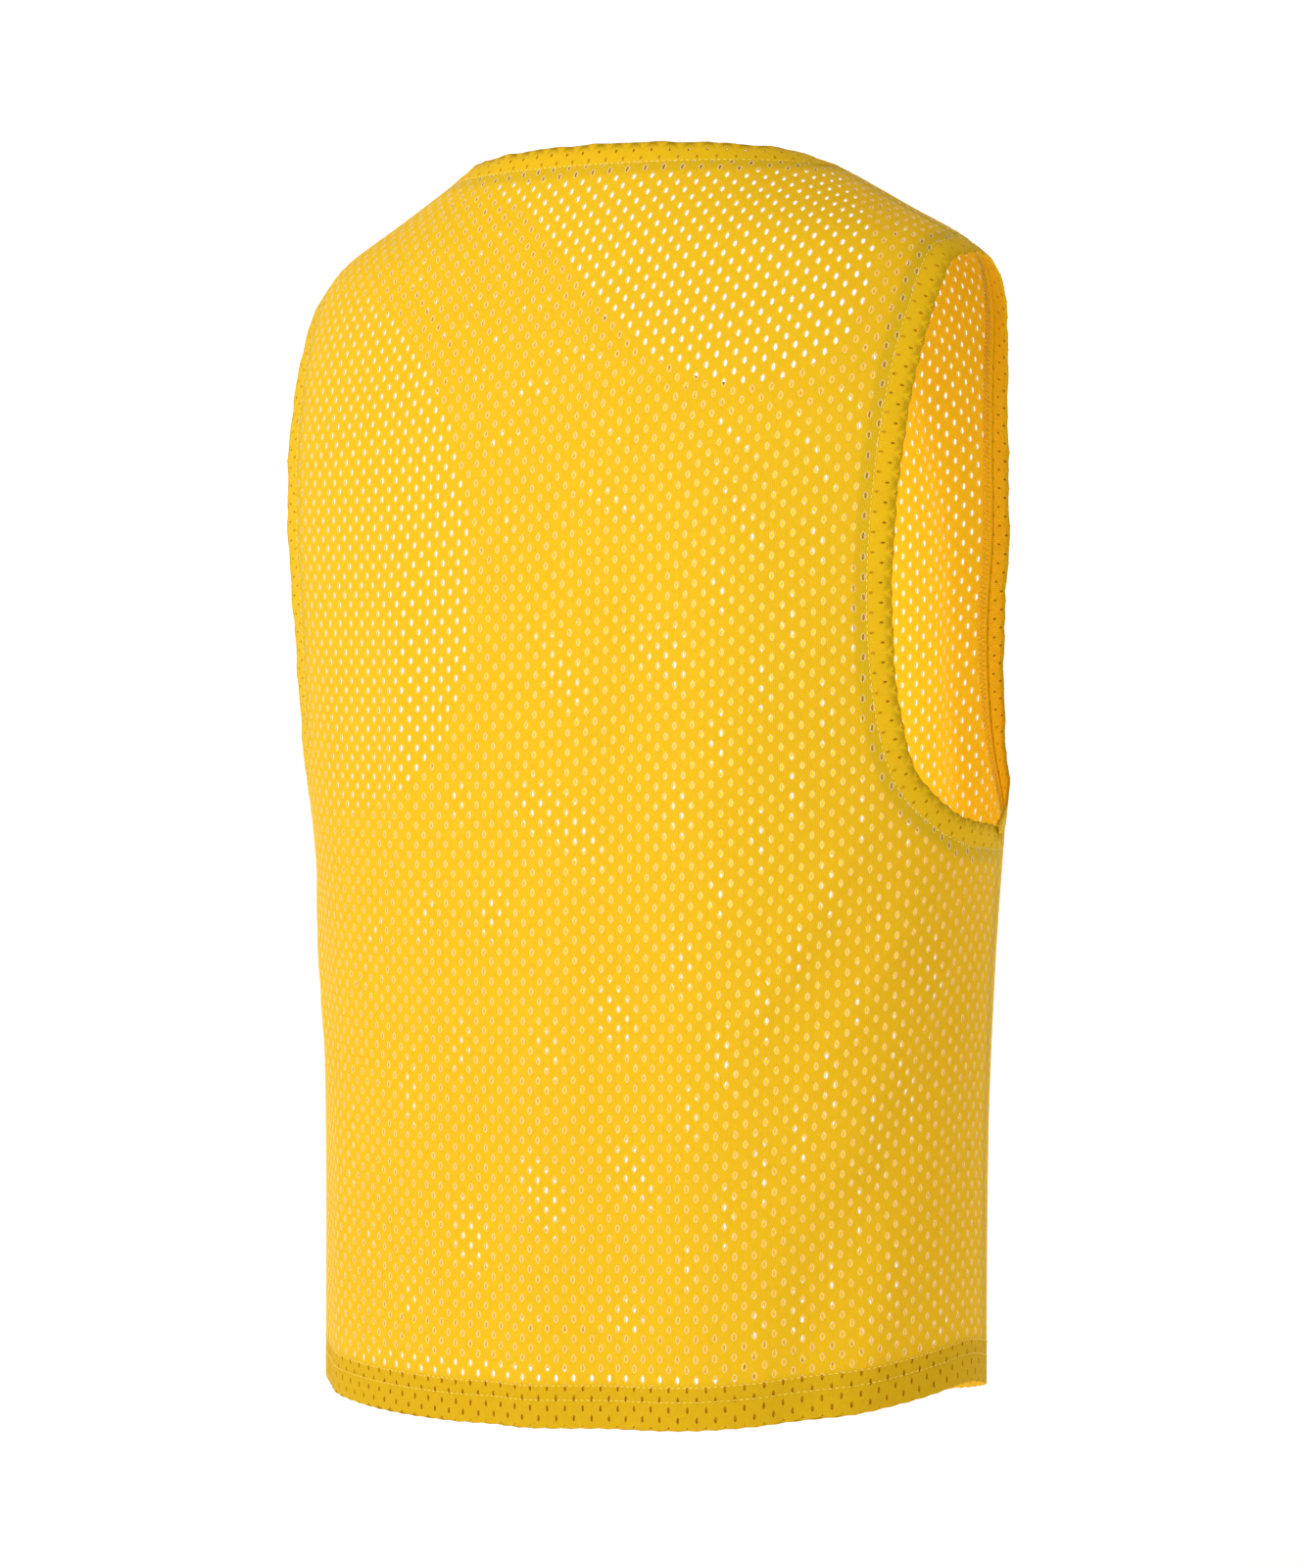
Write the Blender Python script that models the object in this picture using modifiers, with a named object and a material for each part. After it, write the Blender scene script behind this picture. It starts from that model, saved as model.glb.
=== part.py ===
"""Mesh training bib, filled out as when it is worn. Metres, +Z up.

The wearer would face -Y, with the left shoulder at +X. The origin lies between the two neck points of
the shoulders, which hold the bib up. Each piece of cloth is a thin wall through rows of points on one
draped form: level sections from the hem to the underarm, and above it rows that rise towards the
shoulder seams and the neck.
"""

from bisect import bisect_right
from collections import namedtuple
from math import atan2, cos, degrees, exp, pi, radians, sin

import bmesh
import bpy
from mathutils import Vector

# Cloth and seams
CLOTH_WALL = 0.0012
BAND_WALL = 0.0020
TURNING_WALL = 0.0010
SEAM_GAP = 0.0003
BAND_SETBACK = 0.0005
NECK_BAND_WIDTH = 0.011
ARMHOLE_BAND_WIDTH = 0.012
HEM_TURNING_WIDTH = 0.022
HEM_STEPS = 2
BAND_STEPS = 2

# The outline of the cut, at the seams
NECK_SEAM_HALF = 0.1155
SHOULDER_SEAM_HALF = 0.1880
BACK_NECK_DROP = -0.001
FRONT_NECK_DROP = 0.112
UNDERARM_HEIGHT = -0.365
RIDGE_FLOOR = -0.078
SHOULDER_TILT = 0.008

# The hem hangs lower towards the wearer's left side, and dips at the back and at the front
HEM_HEIGHT = -0.643
HEM_SIDE_TILT = 0.045
HEM_BACK_DIP = 0.140
HEM_FRONT_DIP = 0.260
HEM_SOFTNESS = 0.020

# Where the side seams lie round the body, in degrees from the middle of the back
LEFT_SEAM_ANGLE = 91.0
RIGHT_SEAM_ANGLE = 99.0

# Rows and columns of points in a panel
LOWER_ROWS = 13
UPPER_ROWS = 22
NECK_COLUMNS = 7
SHOULDER_COLUMNS = 6
FINE_STEPS = 40
EDGE_BIAS = 4
FITTED_FROM = 0.6

Section = namedtuple("Section", "height half_width back_depth front_depth fullness")
SECTIONS = (
    Section(-0.700, 0.1900, 0.1180, 0.1130, 2.20),
    Section(-0.520, 0.1905, 0.1185, 0.1160, 2.20),
    Section(-0.430, 0.1940, 0.1185, 0.1185, 2.20),
    Section(-0.365, 0.1985, 0.1180, 0.1200, 2.22),
    Section(-0.310, 0.2035, 0.1165, 0.1200, 2.25),
    Section(-0.260, 0.2105, 0.1145, 0.1195, 2.28),
    Section(-0.200, 0.2195, 0.1120, 0.1180, 2.30),
    Section(-0.150, 0.2185, 0.1080, 0.1120, 2.30),
    Section(-0.105, 0.2110, 0.1000, 0.1030, 2.25),
    Section(-0.077, 0.2025, 0.0920, 0.0950, 2.20),
    Section(-0.055, 0.1880, 0.0850, 0.0870, 2.15),
    Section(-0.034, 0.1520, 0.0770, 0.0770, 2.10),
    Section(-0.008, 0.1060, 0.0650, 0.0600, 2.10),
    Section(0.011, 0.0714, 0.0560, 0.0480, 2.10),
)

# The armhole seam from the underarm to the shoulder: the share of the way up, and where it lies round
# the body, in degrees from the middle of the back or of the front
Edge = namedtuple("Edge", "rise back front")
ARMHOLE_SEAM = (
    Edge(0.012, 86.0, 84.0),
    Edge(0.042, 79.0, 77.0),
    Edge(0.100, 73.0, 70.0),
    Edge(0.200, 69.5, 65.0),
    Edge(0.340, 67.5, 62.0),
    Edge(0.500, 67.0, 61.5),
    Edge(0.660, 68.5, 63.0),
    Edge(0.790, 71.5, 67.0),
    Edge(0.880, 75.0, 72.0),
    Edge(0.945, 78.5, 77.0),
    Edge(0.985, 82.5, 82.0),
    Edge(1.000, 90.0, 90.0),
)

# Soft folds of the hanging cloth: where each lies round the body, in degrees from the middle of the
# back towards the wearer's left, the heights it runs between, how far it drifts round on its way down,
# its half-width in degrees and how far it stands out
Fold = namedtuple("Fold", "angle top bottom drift half_width rise")
FOLDS = (
    Fold(-47.0, -0.150, -0.640, 4.0, 11.0, 0.0040),
    Fold(-30.0, -0.200, -0.660, 8.0, 9.0, -0.0025),
    Fold(41.0, -0.190, -0.340, -3.0, 6.0, 0.0030),
    Fold(70.0, -0.330, -0.660, -4.0, 8.0, -0.0030),
    Fold(-80.0, -0.400, -0.560, 22.0, 7.0, 0.0030),
    Fold(-66.0, -0.500, -0.660, 10.0, 7.0, -0.0030),
    Fold(-118.0, -0.300, -0.620, -8.0, 10.0, 0.0045),
    Fold(120.0, -0.320, -0.660, 6.0, 10.0, 0.0040),
    Fold(-150.0, -0.300, -0.660, -6.0, 9.0, 0.0030),
    Fold(165.0, -0.260, -0.660, 4.0, 12.0, -0.0030),
)
FOLD_FADE = 0.060


def smooth(x):
    """A soft step from 0 to 1."""
    x = min(max(x, 0.0), 1.0)
    return x * x * (3.0 - 2.0 * x)


def curve_through(xs, ys, x):
    """A smooth curve through the points (xs, ys), read at x, straight past the ends."""
    last = len(xs) - 1
    slopes = []
    for i in range(last + 1):
        low, high = max(i - 1, 0), min(i + 1, last)
        slopes.append((ys[high] - ys[low]) / (xs[high] - xs[low]))
    if x <= xs[0]:
        return ys[0] + slopes[0] * (x - xs[0])
    if x >= xs[last]:
        return ys[last] + slopes[last] * (x - xs[last])
    i = bisect_right(xs, x) - 1
    span = xs[i + 1] - xs[i]
    t = (x - xs[i]) / span
    near = (1 + 2 * t) * (1 - t) ** 2 * ys[i] + t * (1 - t) ** 2 * span * slopes[i]
    far = t * t * (3 - 2 * t) * ys[i + 1] + t * t * (t - 1) * span * slopes[i + 1]
    return near + far


def section_value(height, column):
    heights = [row.height for row in SECTIONS]
    return curve_through(heights, [getattr(row, column) for row in SECTIONS], height)


def fold_rise(angle, height):
    """How far the folds push the cloth out at an angle round the body, in degrees, and a height."""
    total = 0.0
    for fold in FOLDS:
        share = (fold.top - height) / (fold.top - fold.bottom)
        inside = smooth((fold.top - height) / FOLD_FADE) * smooth((height - fold.bottom) / FOLD_FADE + 1)
        if inside > 0.0:
            away = (angle - fold.angle - fold.drift * share + 180.0) % 360.0 - 180.0
            total += fold.rise * inside * exp(-((away / fold.half_width) ** 2))
    return total


def pushed_out(x, y, height):
    """A point of the smooth section, moved out by the folds."""
    angle = atan2(x, y)
    rise = fold_rise(degrees(angle), height)
    tilt = SHOULDER_TILT * smooth((height - UNDERARM_HEIGHT) / -UNDERARM_HEIGHT)
    return Vector((x + rise * sin(angle), y + rise * cos(angle), height + tilt * x))


def section_reach(angle, height):
    """How far the smooth section reaches at an angle round the body."""
    turn = radians(angle)
    depth = section_value(height, "back_depth" if cos(turn) > 0.0 else "front_depth")
    fullness = section_value(height, "fullness")
    across = abs(sin(turn)) / section_value(height, "half_width")
    along = abs(cos(turn)) / depth
    return (across**fullness + along**fullness) ** (-1.0 / fullness)


def round_point(angle, height):
    """The form at an angle round the body, in degrees from the middle of the back to the left."""
    reach = section_reach(angle, height)
    return pushed_out(reach * sin(radians(angle)), reach * cos(radians(angle)), height)


def angle_at(panel, x, height):
    """The angle from a panel's middle at which the section lies a distance x from the middle."""
    fullness = section_value(height, "fullness")
    share = min(x / section_value(height, "half_width"), 1.0)
    depth = section_value(height, panel.depth) * (1.0 - share**fullness) ** (1.0 / fullness)
    return degrees(atan2(x, depth))


def ridge_height(x):
    """The height of the shoulder line at a distance x from the middle."""
    low, high = RIDGE_FLOOR, 0.0
    for _ in range(40):
        middle = (low + high) / 2
        if section_value(middle, "half_width") > x:
            low = middle
        else:
            high = middle
    return low


Panel = namedtuple("Panel", "name facing depth seam_column neck_drop")
BACK = Panel("back_panel", 1, "back_depth", "back", BACK_NECK_DROP)
FRONT = Panel("front_panel", -1, "front_depth", "front", FRONT_NECK_DROP)


def top_height(panel, x):
    """The height of a panel's neck seam or shoulder seam at a distance x from the middle."""
    if x >= NECK_SEAM_HALF:
        return ridge_height(x)
    dip = (1.0 - (x / NECK_SEAM_HALF) ** 2) ** 0.5
    return ridge_height(NECK_SEAM_HALF) - panel.neck_drop * dip


def seam_angle(panel, side):
    """The angle of a side seam from the middle of the panel."""
    from_back = LEFT_SEAM_ANGLE if side > 0 else RIGHT_SEAM_ANGLE
    return from_back if panel is BACK else 180.0 - from_back


def armhole_seam(panel, side, share):
    """The armhole seam at a share of its run from the underarm: its rise and its angle."""
    rises = [0.0] + [edge.rise for edge in ARMHOLE_SEAM]
    angles = [seam_angle(panel, side)] + [getattr(edge, panel.seam_column) for edge in ARMHOLE_SEAM]
    armhole_height = ridge_height(SHOULDER_SEAM_HALF) - UNDERARM_HEIGHT
    reach = section_value(UNDERARM_HEIGHT, "back_depth")
    runs = [0.0]
    for i in range(1, len(rises)):
        climb = (rises[i] - rises[i - 1]) * armhole_height
        turn = radians(angles[i] - angles[i - 1]) * reach
        runs.append(runs[-1] + (climb * climb + turn * turn) ** 0.5)
    run = share * runs[-1]
    return curve_through(runs, rises, run), curve_through(runs, angles, run)


def fine_steps():
    """Distances from the middle to the shoulder seam's end, closer together near the neck point."""
    steps = [NECK_SEAM_HALF * sin(pi / 2 * i / FINE_STEPS) for i in range(FINE_STEPS)]
    run = SHOULDER_SEAM_HALF - NECK_SEAM_HALF
    return steps + [NECK_SEAM_HALF + run * i / FINE_STEPS for i in range(FINE_STEPS + 1)]


def hem_height(place):
    """The height of the hem below a place on the form."""
    dip = HEM_BACK_DIP if place.y > 0.0 else HEM_FRONT_DIP
    depth = place.y * place.y / (abs(place.y) + HEM_SOFTNESS)
    return HEM_HEIGHT - HEM_SIDE_TILT * place.x - dip * depth


def half_row(panel, side, row):
    """Fine points of half a row, from the middle of the panel to its edge."""
    middle = 0.0 if panel is BACK else 180.0
    turn = side if panel is BACK else -side
    if row <= LOWER_ROWS:
        edge = seam_angle(panel, side)
        points = []
        for i in range(2 * FINE_STEPS + 1):
            angle = middle + turn * edge * i / (2 * FINE_STEPS)
            low = hem_height(round_point(angle, HEM_HEIGHT))
            points.append(round_point(angle, low + (UNDERARM_HEIGHT - low) * row / LOWER_ROWS))
        return points
    rise, edge = armhole_seam(panel, side, (row - LOWER_ROWS) / UPPER_ROWS)
    end = UNDERARM_HEIGHT + (ridge_height(SHOULDER_SEAM_HALF) - UNDERARM_HEIGHT) * rise
    wider = section_reach(middle + edge, end) * sin(radians(edge)) - SHOULDER_SEAM_HALF
    points = []
    for x in fine_steps():
        height = UNDERARM_HEIGHT + (top_height(panel, x) - UNDERARM_HEIGHT) * rise
        share = x / SHOULDER_SEAM_HALF
        fitted = angle_at(panel, x + wider * share**EDGE_BIAS, height)
        angle = edge * share + (fitted - edge * share) * smooth(rise / FITTED_FROM)
        points.append(round_point(middle + turn * angle, height))
    return points


def runs_along(points):
    """The length along a row at each of its points."""
    runs = [0.0]
    for near, far in zip(points, points[1:]):
        runs.append(runs[-1] + (far - near).length)
    return runs


def spread(points, shares):
    """Points at the given shares of a row's length."""
    runs = runs_along(points)
    placed = []
    for share in shares:
        run = share * runs[-1]
        i = min(bisect_right(runs, run), len(runs) - 1)
        t = (run - runs[i - 1]) / (runs[i] - runs[i - 1])
        placed.append(points[i - 1].lerp(points[i], t))
    return placed


def column_shares(panel, side, row):
    """Where the columns lie along half a row: even at the hem, and meeting the neck point at the top."""
    columns = NECK_COLUMNS + SHOULDER_COLUMNS
    runs = runs_along(half_row(panel, side, LOWER_ROWS + UPPER_ROWS))
    neck = runs[FINE_STEPS] / runs[-1]
    rise = max(row - LOWER_ROWS, 0) / UPPER_ROWS
    shares = []
    for column in range(columns + 1):
        even = column / columns
        if column <= NECK_COLUMNS:
            fitted = neck * column / NECK_COLUMNS
        else:
            fitted = neck + (1.0 - neck) * (column - NECK_COLUMNS) / SHOULDER_COLUMNS
        shares.append(even + (fitted - even) * rise * rise)
    return shares


def panel_points(panel):
    """The panel's points: rows from the hem up, each from the wearer's right to the left."""
    rows = []
    for row in range(LOWER_ROWS + UPPER_ROWS + 1):
        right = spread(half_row(panel, -1, row), column_shares(panel, -1, row))
        left = spread(half_row(panel, 1, row), column_shares(panel, 1, row))
        rows.append(right[:0:-1] + left)
    return rows


def normals_of(rows, facing):
    """The outward direction at each of a panel's points, from the cells around it."""
    last_row, last_column = len(rows) - 1, len(rows[0]) - 1
    normals = [[Vector((0.0, 0.0, 0.0)) for _ in row] for row in rows]
    for r in range(last_row):
        for c in range(last_column):
            rising = rows[r + 1][c + 1] - rows[r][c]
            falling = rows[r][c + 1] - rows[r + 1][c]
            cell = falling.cross(rising).normalized() * -facing
            for row, column in ((r, c), (r, c + 1), (r + 1, c), (r + 1, c + 1)):
                normals[row][column] += cell
    return [[normal.normalized() for normal in row] for row in normals]


def trimmed(rows, normals):
    """The same points with the outline drawn in by half a seam's gap."""
    last_row, last_column = len(rows) - 1, len(rows[0]) - 1
    outline = [(0, c) for c in range(last_column)]
    outline += [(r, last_column) for r in range(last_row)]
    outline += [(last_row, c) for c in range(last_column, 0, -1)]
    outline += [(r, 0) for r in range(last_row, 0, -1)]
    moved = [[point.copy() for point in row] for row in rows]
    for i, (r, c) in enumerate(outline):
        before, after = outline[i - 1], outline[(i + 1) % len(outline)]
        here, normal = rows[r][c], normals[r][c]
        first = normal.cross(here - rows[before[0]][before[1]]).normalized()
        second = normal.cross(rows[after[0]][after[1]] - here).normalized()
        inward = (first + second) * SEAM_GAP / 2 / max(1.0 + first.dot(second), 0.5)
        inside = rows[min(max(r, 1), last_row - 1)][min(max(c, 1), last_column - 1)] - here
        moved[r][c] += inward if inward.dot(inside) > 0.0 else -inward
    return moved


def sheet_object(name, rows, reverse, closed, wall, material):
    """An open sheet through the rows of points, given its wall by Solidify."""
    height, width = len(rows) - 1, len(rows[0]) - 1
    mesh = bpy.data.meshes.new(name)
    sheet = bmesh.new()
    bmesh.ops.create_grid(sheet, x_segments=width, y_segments=height, size=1.0)
    for vert in sheet.verts:
        column = round((vert.co.x + 1.0) / 2.0 * width)
        row = round((vert.co.y + 1.0) / 2.0 * height)
        vert.co = rows[row][column]
    if closed:
        bmesh.ops.remove_doubles(sheet, verts=sheet.verts, dist=0.00001)
    if reverse:
        bmesh.ops.reverse_faces(sheet, faces=sheet.faces)
    sheet.to_mesh(mesh)
    sheet.free()
    mesh.shade_smooth()
    mesh.materials.append(material)
    cloth = bpy.data.objects.new(name, mesh)
    solidify = cloth.modifiers.new("Wall", "SOLIDIFY")
    solidify.thickness = wall
    solidify.offset = 0.0
    solidify.use_even_offset = False
    return cloth


def band_rows(edge, normals, turn, width):
    """Rows of a sewn-on band: they start at the seam and go on the way that the panel runs."""
    rows = [[] for _ in range(BAND_STEPS + 1)]
    for i, point in enumerate(edge):
        ahead = edge[(i + 1) % len(edge)] - edge[i - 1]
        across = ahead.cross(normals[i]).normalized() * turn
        for step, row in enumerate(rows):
            row.append(point + across * (BAND_SETBACK + width * step / BAND_STEPS))
    return [row + row[:1] for row in rows]


def armhole_loop(back, front, side):
    """One armhole's seam line through a grid of points or normals, up the back and down the front."""
    end = -1 if side > 0 else 0
    last = LOWER_ROWS + UPPER_ROWS
    rising = [back[row][end] for row in range(LOWER_ROWS, last + 1)]
    falling = [front[row][end] for row in range(last - 1, LOWER_ROWS, -1)]
    return rising + falling


def neck_loop(back, front):
    """The neck's seam line through a grid of points or normals, from the right neck point by the back."""
    first, last = SHOULDER_COLUMNS, SHOULDER_COLUMNS + 2 * NECK_COLUMNS
    behind = [back[-1][i] for i in range(first, last + 1)]
    before = [front[-1][i] for i in range(last - 1, first, -1)]
    return behind + before


def hem_rows(back, front, normals_back, normals_front):
    """Rows of the hem's turning, inside the panels, from the hem up."""
    inset = CLOTH_WALL / 2 + SEAM_GAP + TURNING_WALL / 2
    ring, above, outward = (
        behind[:-1] + before[:0:-1]
        for behind, before in (
            (back[0], front[0]),
            (back[1], front[1]),
            (normals_back[0], normals_front[0]),
        )
    )
    rows = []
    for step in range(HEM_STEPS + 1):
        row = []
        for point, higher, out in zip(ring, above, outward):
            up = (higher - point).normalized()
            row.append(point + up * HEM_TURNING_WIDTH * step / HEM_STEPS - out * inset)
        rows.append(row + row[:1])
    return rows


def cloth_material(name, colour, roughness):
    """A matt polyester finish."""
    material = bpy.data.materials.new(name)
    material.use_nodes = True
    shader = material.node_tree.nodes["Principled BSDF"]
    shader.inputs["Base Color"].default_value = (*colour, 1.0)
    shader.inputs["Roughness"].default_value = roughness
    shader.inputs["Metallic"].default_value = 0.0
    material.diffuse_color = (*colour, 1.0)
    return material


def main():
    for old in list(bpy.data.objects):
        bpy.data.objects.remove(old)
    bib = bpy.data.collections.new("mesh_training_bib")
    bpy.context.scene.collection.children.link(bib)

    mesh_yellow = (0.95, 0.60, 0.03)
    band_yellow = (0.90, 0.53, 0.02)
    back, front = panel_points(BACK), panel_points(FRONT)
    out_back, out_front = normals_of(back, BACK.facing), normals_of(front, FRONT.facing)
    for rows, normals in ((back, out_back), (front, out_front)):
        for c in (0, -1):
            for r in range(LOWER_ROWS + 1):
                joint = (out_back[r][c] + out_front[r][c]).normalized()
                out_back[r][c] = out_front[r][c] = joint

    finish = cloth_material("back_mesh", mesh_yellow, 0.8)
    panel = sheet_object(BACK.name, trimmed(back, out_back), True, False, CLOTH_WALL, finish)
    bib.objects.link(panel)
    finish = cloth_material("front_mesh", mesh_yellow, 0.8)
    panel = sheet_object(FRONT.name, trimmed(front, out_front), False, False, CLOTH_WALL, finish)
    bib.objects.link(panel)

    for c in range(len(back[-1])):
        if not SHOULDER_COLUMNS < c < SHOULDER_COLUMNS + 2 * NECK_COLUMNS:
            joint = (out_back[-1][c] + out_front[-1][c]).normalized()
            out_back[-1][c] = out_front[-1][c] = joint

    rows = band_rows(neck_loop(back, front), neck_loop(out_back, out_front), 1, NECK_BAND_WIDTH)
    finish = cloth_material("neck_binding", band_yellow, 0.75)
    bib.objects.link(sheet_object("neck_band", rows, True, True, BAND_WALL, finish))

    for side, name in ((1, "left"), (-1, "right")):
        seam, outward = armhole_loop(back, front, side), armhole_loop(out_back, out_front, side)
        rows = band_rows(seam, outward, -side, ARMHOLE_BAND_WIDTH)
        finish = cloth_material("armhole_binding_" + name, band_yellow, 0.75)
        band = sheet_object("armhole_band_" + name, rows, side < 0, True, BAND_WALL, finish)
        bib.objects.link(band)

    rows = hem_rows(back, front, out_back, out_front)
    finish = cloth_material("hem_mesh", band_yellow, 0.8)
    bib.objects.link(sheet_object("hem_turning", rows, True, True, TURNING_WALL, finish))


main()
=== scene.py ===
"""Mesh training bib: knitted panels, doubled bands, turned-up hem, seams and a plain studio.

Laid out as an add-on and run as a script. The form is the same as that of the plain solids: level
sections of the filled-out bib, the outline of the cut and a table of soft folds, with a second table of
small creases laid over it. The panels, the bands and the hem are knitted from small cells with an oval
hole, placed on rows and columns of the cloth and carried over to the draped form. The seam allowances
are plain strips. Metres, +Z up.
"""

from bisect import bisect_right
from collections import namedtuple
from functools import lru_cache
from math import atan2, cos, degrees, exp, pi, radians, sin

import bpy
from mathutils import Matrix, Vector
from mathutils.bvhtree import BVHTree


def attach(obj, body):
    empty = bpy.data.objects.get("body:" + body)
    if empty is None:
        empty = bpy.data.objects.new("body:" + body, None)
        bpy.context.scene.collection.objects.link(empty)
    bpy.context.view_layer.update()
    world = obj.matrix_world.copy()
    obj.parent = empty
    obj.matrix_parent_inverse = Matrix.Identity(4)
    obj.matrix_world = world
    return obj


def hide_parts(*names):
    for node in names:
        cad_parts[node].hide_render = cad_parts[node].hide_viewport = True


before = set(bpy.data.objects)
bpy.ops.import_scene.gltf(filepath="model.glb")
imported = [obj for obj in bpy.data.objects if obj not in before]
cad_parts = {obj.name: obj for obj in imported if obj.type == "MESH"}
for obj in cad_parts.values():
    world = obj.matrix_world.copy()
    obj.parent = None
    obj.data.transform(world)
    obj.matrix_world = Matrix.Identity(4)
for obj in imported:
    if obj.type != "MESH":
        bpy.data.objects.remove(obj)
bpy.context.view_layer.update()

bl_info = {
    "name": "Mesh Training Bib",
    "version": (1, 0, 0),
    "blender": (4, 5, 0),
    "location": "View3D > Sidebar > Training Bib",
    "description": "Builds the knitted panels, bands, hem, seams and studio of a mesh training bib",
    "category": "Add Mesh",
}

BODY = "root"

# The outline of the cut, at the seams
NECK_SEAM_HALF = 0.1155
SHOULDER_SEAM_HALF = 0.1880
BACK_NECK_DROP = -0.001
FRONT_NECK_DROP = 0.112
UNDERARM_HEIGHT = -0.365
RIDGE_FLOOR = -0.078
SHOULDER_TILT = 0.008

# The hem hangs lower towards the wearer's left side, and dips at the back and at the front
HEM_HEIGHT = -0.643
HEM_SIDE_TILT = 0.045
HEM_BACK_DIP = 0.140
HEM_FRONT_DIP = 0.260
HEM_SOFTNESS = 0.020

# Where the side seams lie round the body, in degrees from the middle of the back
LEFT_SEAM_ANGLE = 91.0
RIGHT_SEAM_ANGLE = 99.0

# Rows and columns of the draped form, and how its columns lean out to the armhole
LOWER_ROWS = 26
UPPER_ROWS = 44
NECK_COLUMNS = 14
SHOULDER_COLUMNS = 12
FINE_STEPS = 40
EDGE_BIAS = 4
FITTED_FROM = 0.6

Section = namedtuple("Section", "height half_width back_depth front_depth fullness")
SECTIONS = (
    Section(-0.700, 0.1900, 0.1180, 0.1130, 2.20),
    Section(-0.520, 0.1905, 0.1185, 0.1160, 2.20),
    Section(-0.430, 0.1940, 0.1185, 0.1185, 2.20),
    Section(-0.365, 0.1985, 0.1180, 0.1200, 2.22),
    Section(-0.310, 0.2035, 0.1165, 0.1200, 2.25),
    Section(-0.260, 0.2105, 0.1145, 0.1195, 2.28),
    Section(-0.200, 0.2195, 0.1120, 0.1180, 2.30),
    Section(-0.150, 0.2185, 0.1080, 0.1120, 2.30),
    Section(-0.105, 0.2110, 0.1000, 0.1030, 2.25),
    Section(-0.077, 0.2025, 0.0920, 0.0950, 2.20),
    Section(-0.055, 0.1880, 0.0850, 0.0870, 2.15),
    Section(-0.034, 0.1520, 0.0770, 0.0770, 2.10),
    Section(-0.008, 0.1060, 0.0650, 0.0600, 2.10),
    Section(0.011, 0.0714, 0.0560, 0.0480, 2.10),
)

# The armhole seam from the underarm to the shoulder: the share of the way up, and where it lies round
# the body, in degrees from the middle of the back or of the front
Edge = namedtuple("Edge", "rise back front")
ARMHOLE_SEAM = (
    Edge(0.012, 86.0, 84.0),
    Edge(0.042, 79.0, 77.0),
    Edge(0.100, 73.0, 70.0),
    Edge(0.200, 69.5, 65.0),
    Edge(0.340, 67.5, 62.0),
    Edge(0.500, 67.0, 61.5),
    Edge(0.660, 68.5, 63.0),
    Edge(0.790, 71.5, 67.0),
    Edge(0.880, 75.0, 72.0),
    Edge(0.945, 78.5, 77.0),
    Edge(0.985, 82.5, 82.0),
    Edge(1.000, 90.0, 90.0),
)

# Folds of the hanging cloth: where each lies round the body, in degrees from the middle of the back
# towards the wearer's left, the heights it runs between, how far it drifts round on its way down, its
# half-width in degrees and how far it stands out. The soft ones first, then the small creases.
Fold = namedtuple("Fold", "angle top bottom drift half_width rise")
FOLDS = (
    Fold(-47.0, -0.150, -0.640, 4.0, 11.0, 0.0040),
    Fold(-30.0, -0.200, -0.660, 8.0, 9.0, -0.0025),
    Fold(41.0, -0.190, -0.340, -3.0, 6.0, 0.0030),
    Fold(70.0, -0.330, -0.660, -4.0, 8.0, -0.0030),
    Fold(-80.0, -0.400, -0.560, 22.0, 7.0, 0.0030),
    Fold(-66.0, -0.500, -0.660, 10.0, 7.0, -0.0030),
    Fold(-118.0, -0.300, -0.620, -8.0, 10.0, 0.0045),
    Fold(120.0, -0.320, -0.660, 6.0, 10.0, 0.0040),
    Fold(-150.0, -0.300, -0.660, -6.0, 9.0, 0.0030),
    Fold(165.0, -0.260, -0.660, 4.0, 12.0, -0.0030),
)
CREASES = (
    Fold(37.0, -0.200, -0.330, -2.0, 2.2, 0.0016),
    Fold(45.0, -0.230, -0.350, -3.0, 2.4, -0.0014),
    Fold(-72.0, -0.330, -0.420, 16.0, 3.0, 0.0026),
    Fold(-84.0, -0.350, -0.460, 20.0, 3.2, 0.0022),
    Fold(-91.0, -0.390, -0.520, 18.0, 3.6, -0.0018),
    Fold(-58.0, -0.560, -0.665, 6.0, 4.0, 0.0022),
    Fold(-76.0, -0.540, -0.660, 10.0, 3.6, 0.0024),
    Fold(-6.0, -0.420, -0.660, 5.0, 6.0, 0.0016),
    Fold(14.0, -0.480, -0.665, -4.0, 5.0, -0.0014),
    Fold(56.0, -0.470, -0.670, 5.0, 4.6, 0.0018),
    Fold(82.0, -0.360, -0.470, -14.0, 3.4, 0.0022),
    Fold(96.0, -0.380, -0.560, -8.0, 4.0, -0.0016),
    Fold(-128.0, -0.330, -0.480, 9.0, 4.0, 0.0022),
    Fold(-112.0, -0.300, -0.400, -10.0, 3.4, -0.0018),
    Fold(134.0, -0.340, -0.520, -8.0, 4.4, 0.0020),
    Fold(-170.0, -0.430, -0.650, 6.0, 5.0, 0.0018),
    Fold(150.0, -0.470, -0.650, -6.0, 5.0, 0.0018),
    Fold(-129.0, -0.080, -0.400, 8.0, 4.2, -0.0070),
)
FOLD_FADE = 0.060

# Cloth coordinates are kept inside the unit square, so they start this far from its corner
MAP_MIDDLE = 0.30
MAP_LOW = 0.05
LEVEL_STEP = 0.008
ANGLE_STEP = 2.0
MAP_REACH = 100.0
COLUMN_STEP = 0.006

# How far a panel goes on inside a band, and how far past its edge its map still reaches
TUCK = 0.0035
EDGE_MARGIN = 0.016

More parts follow.
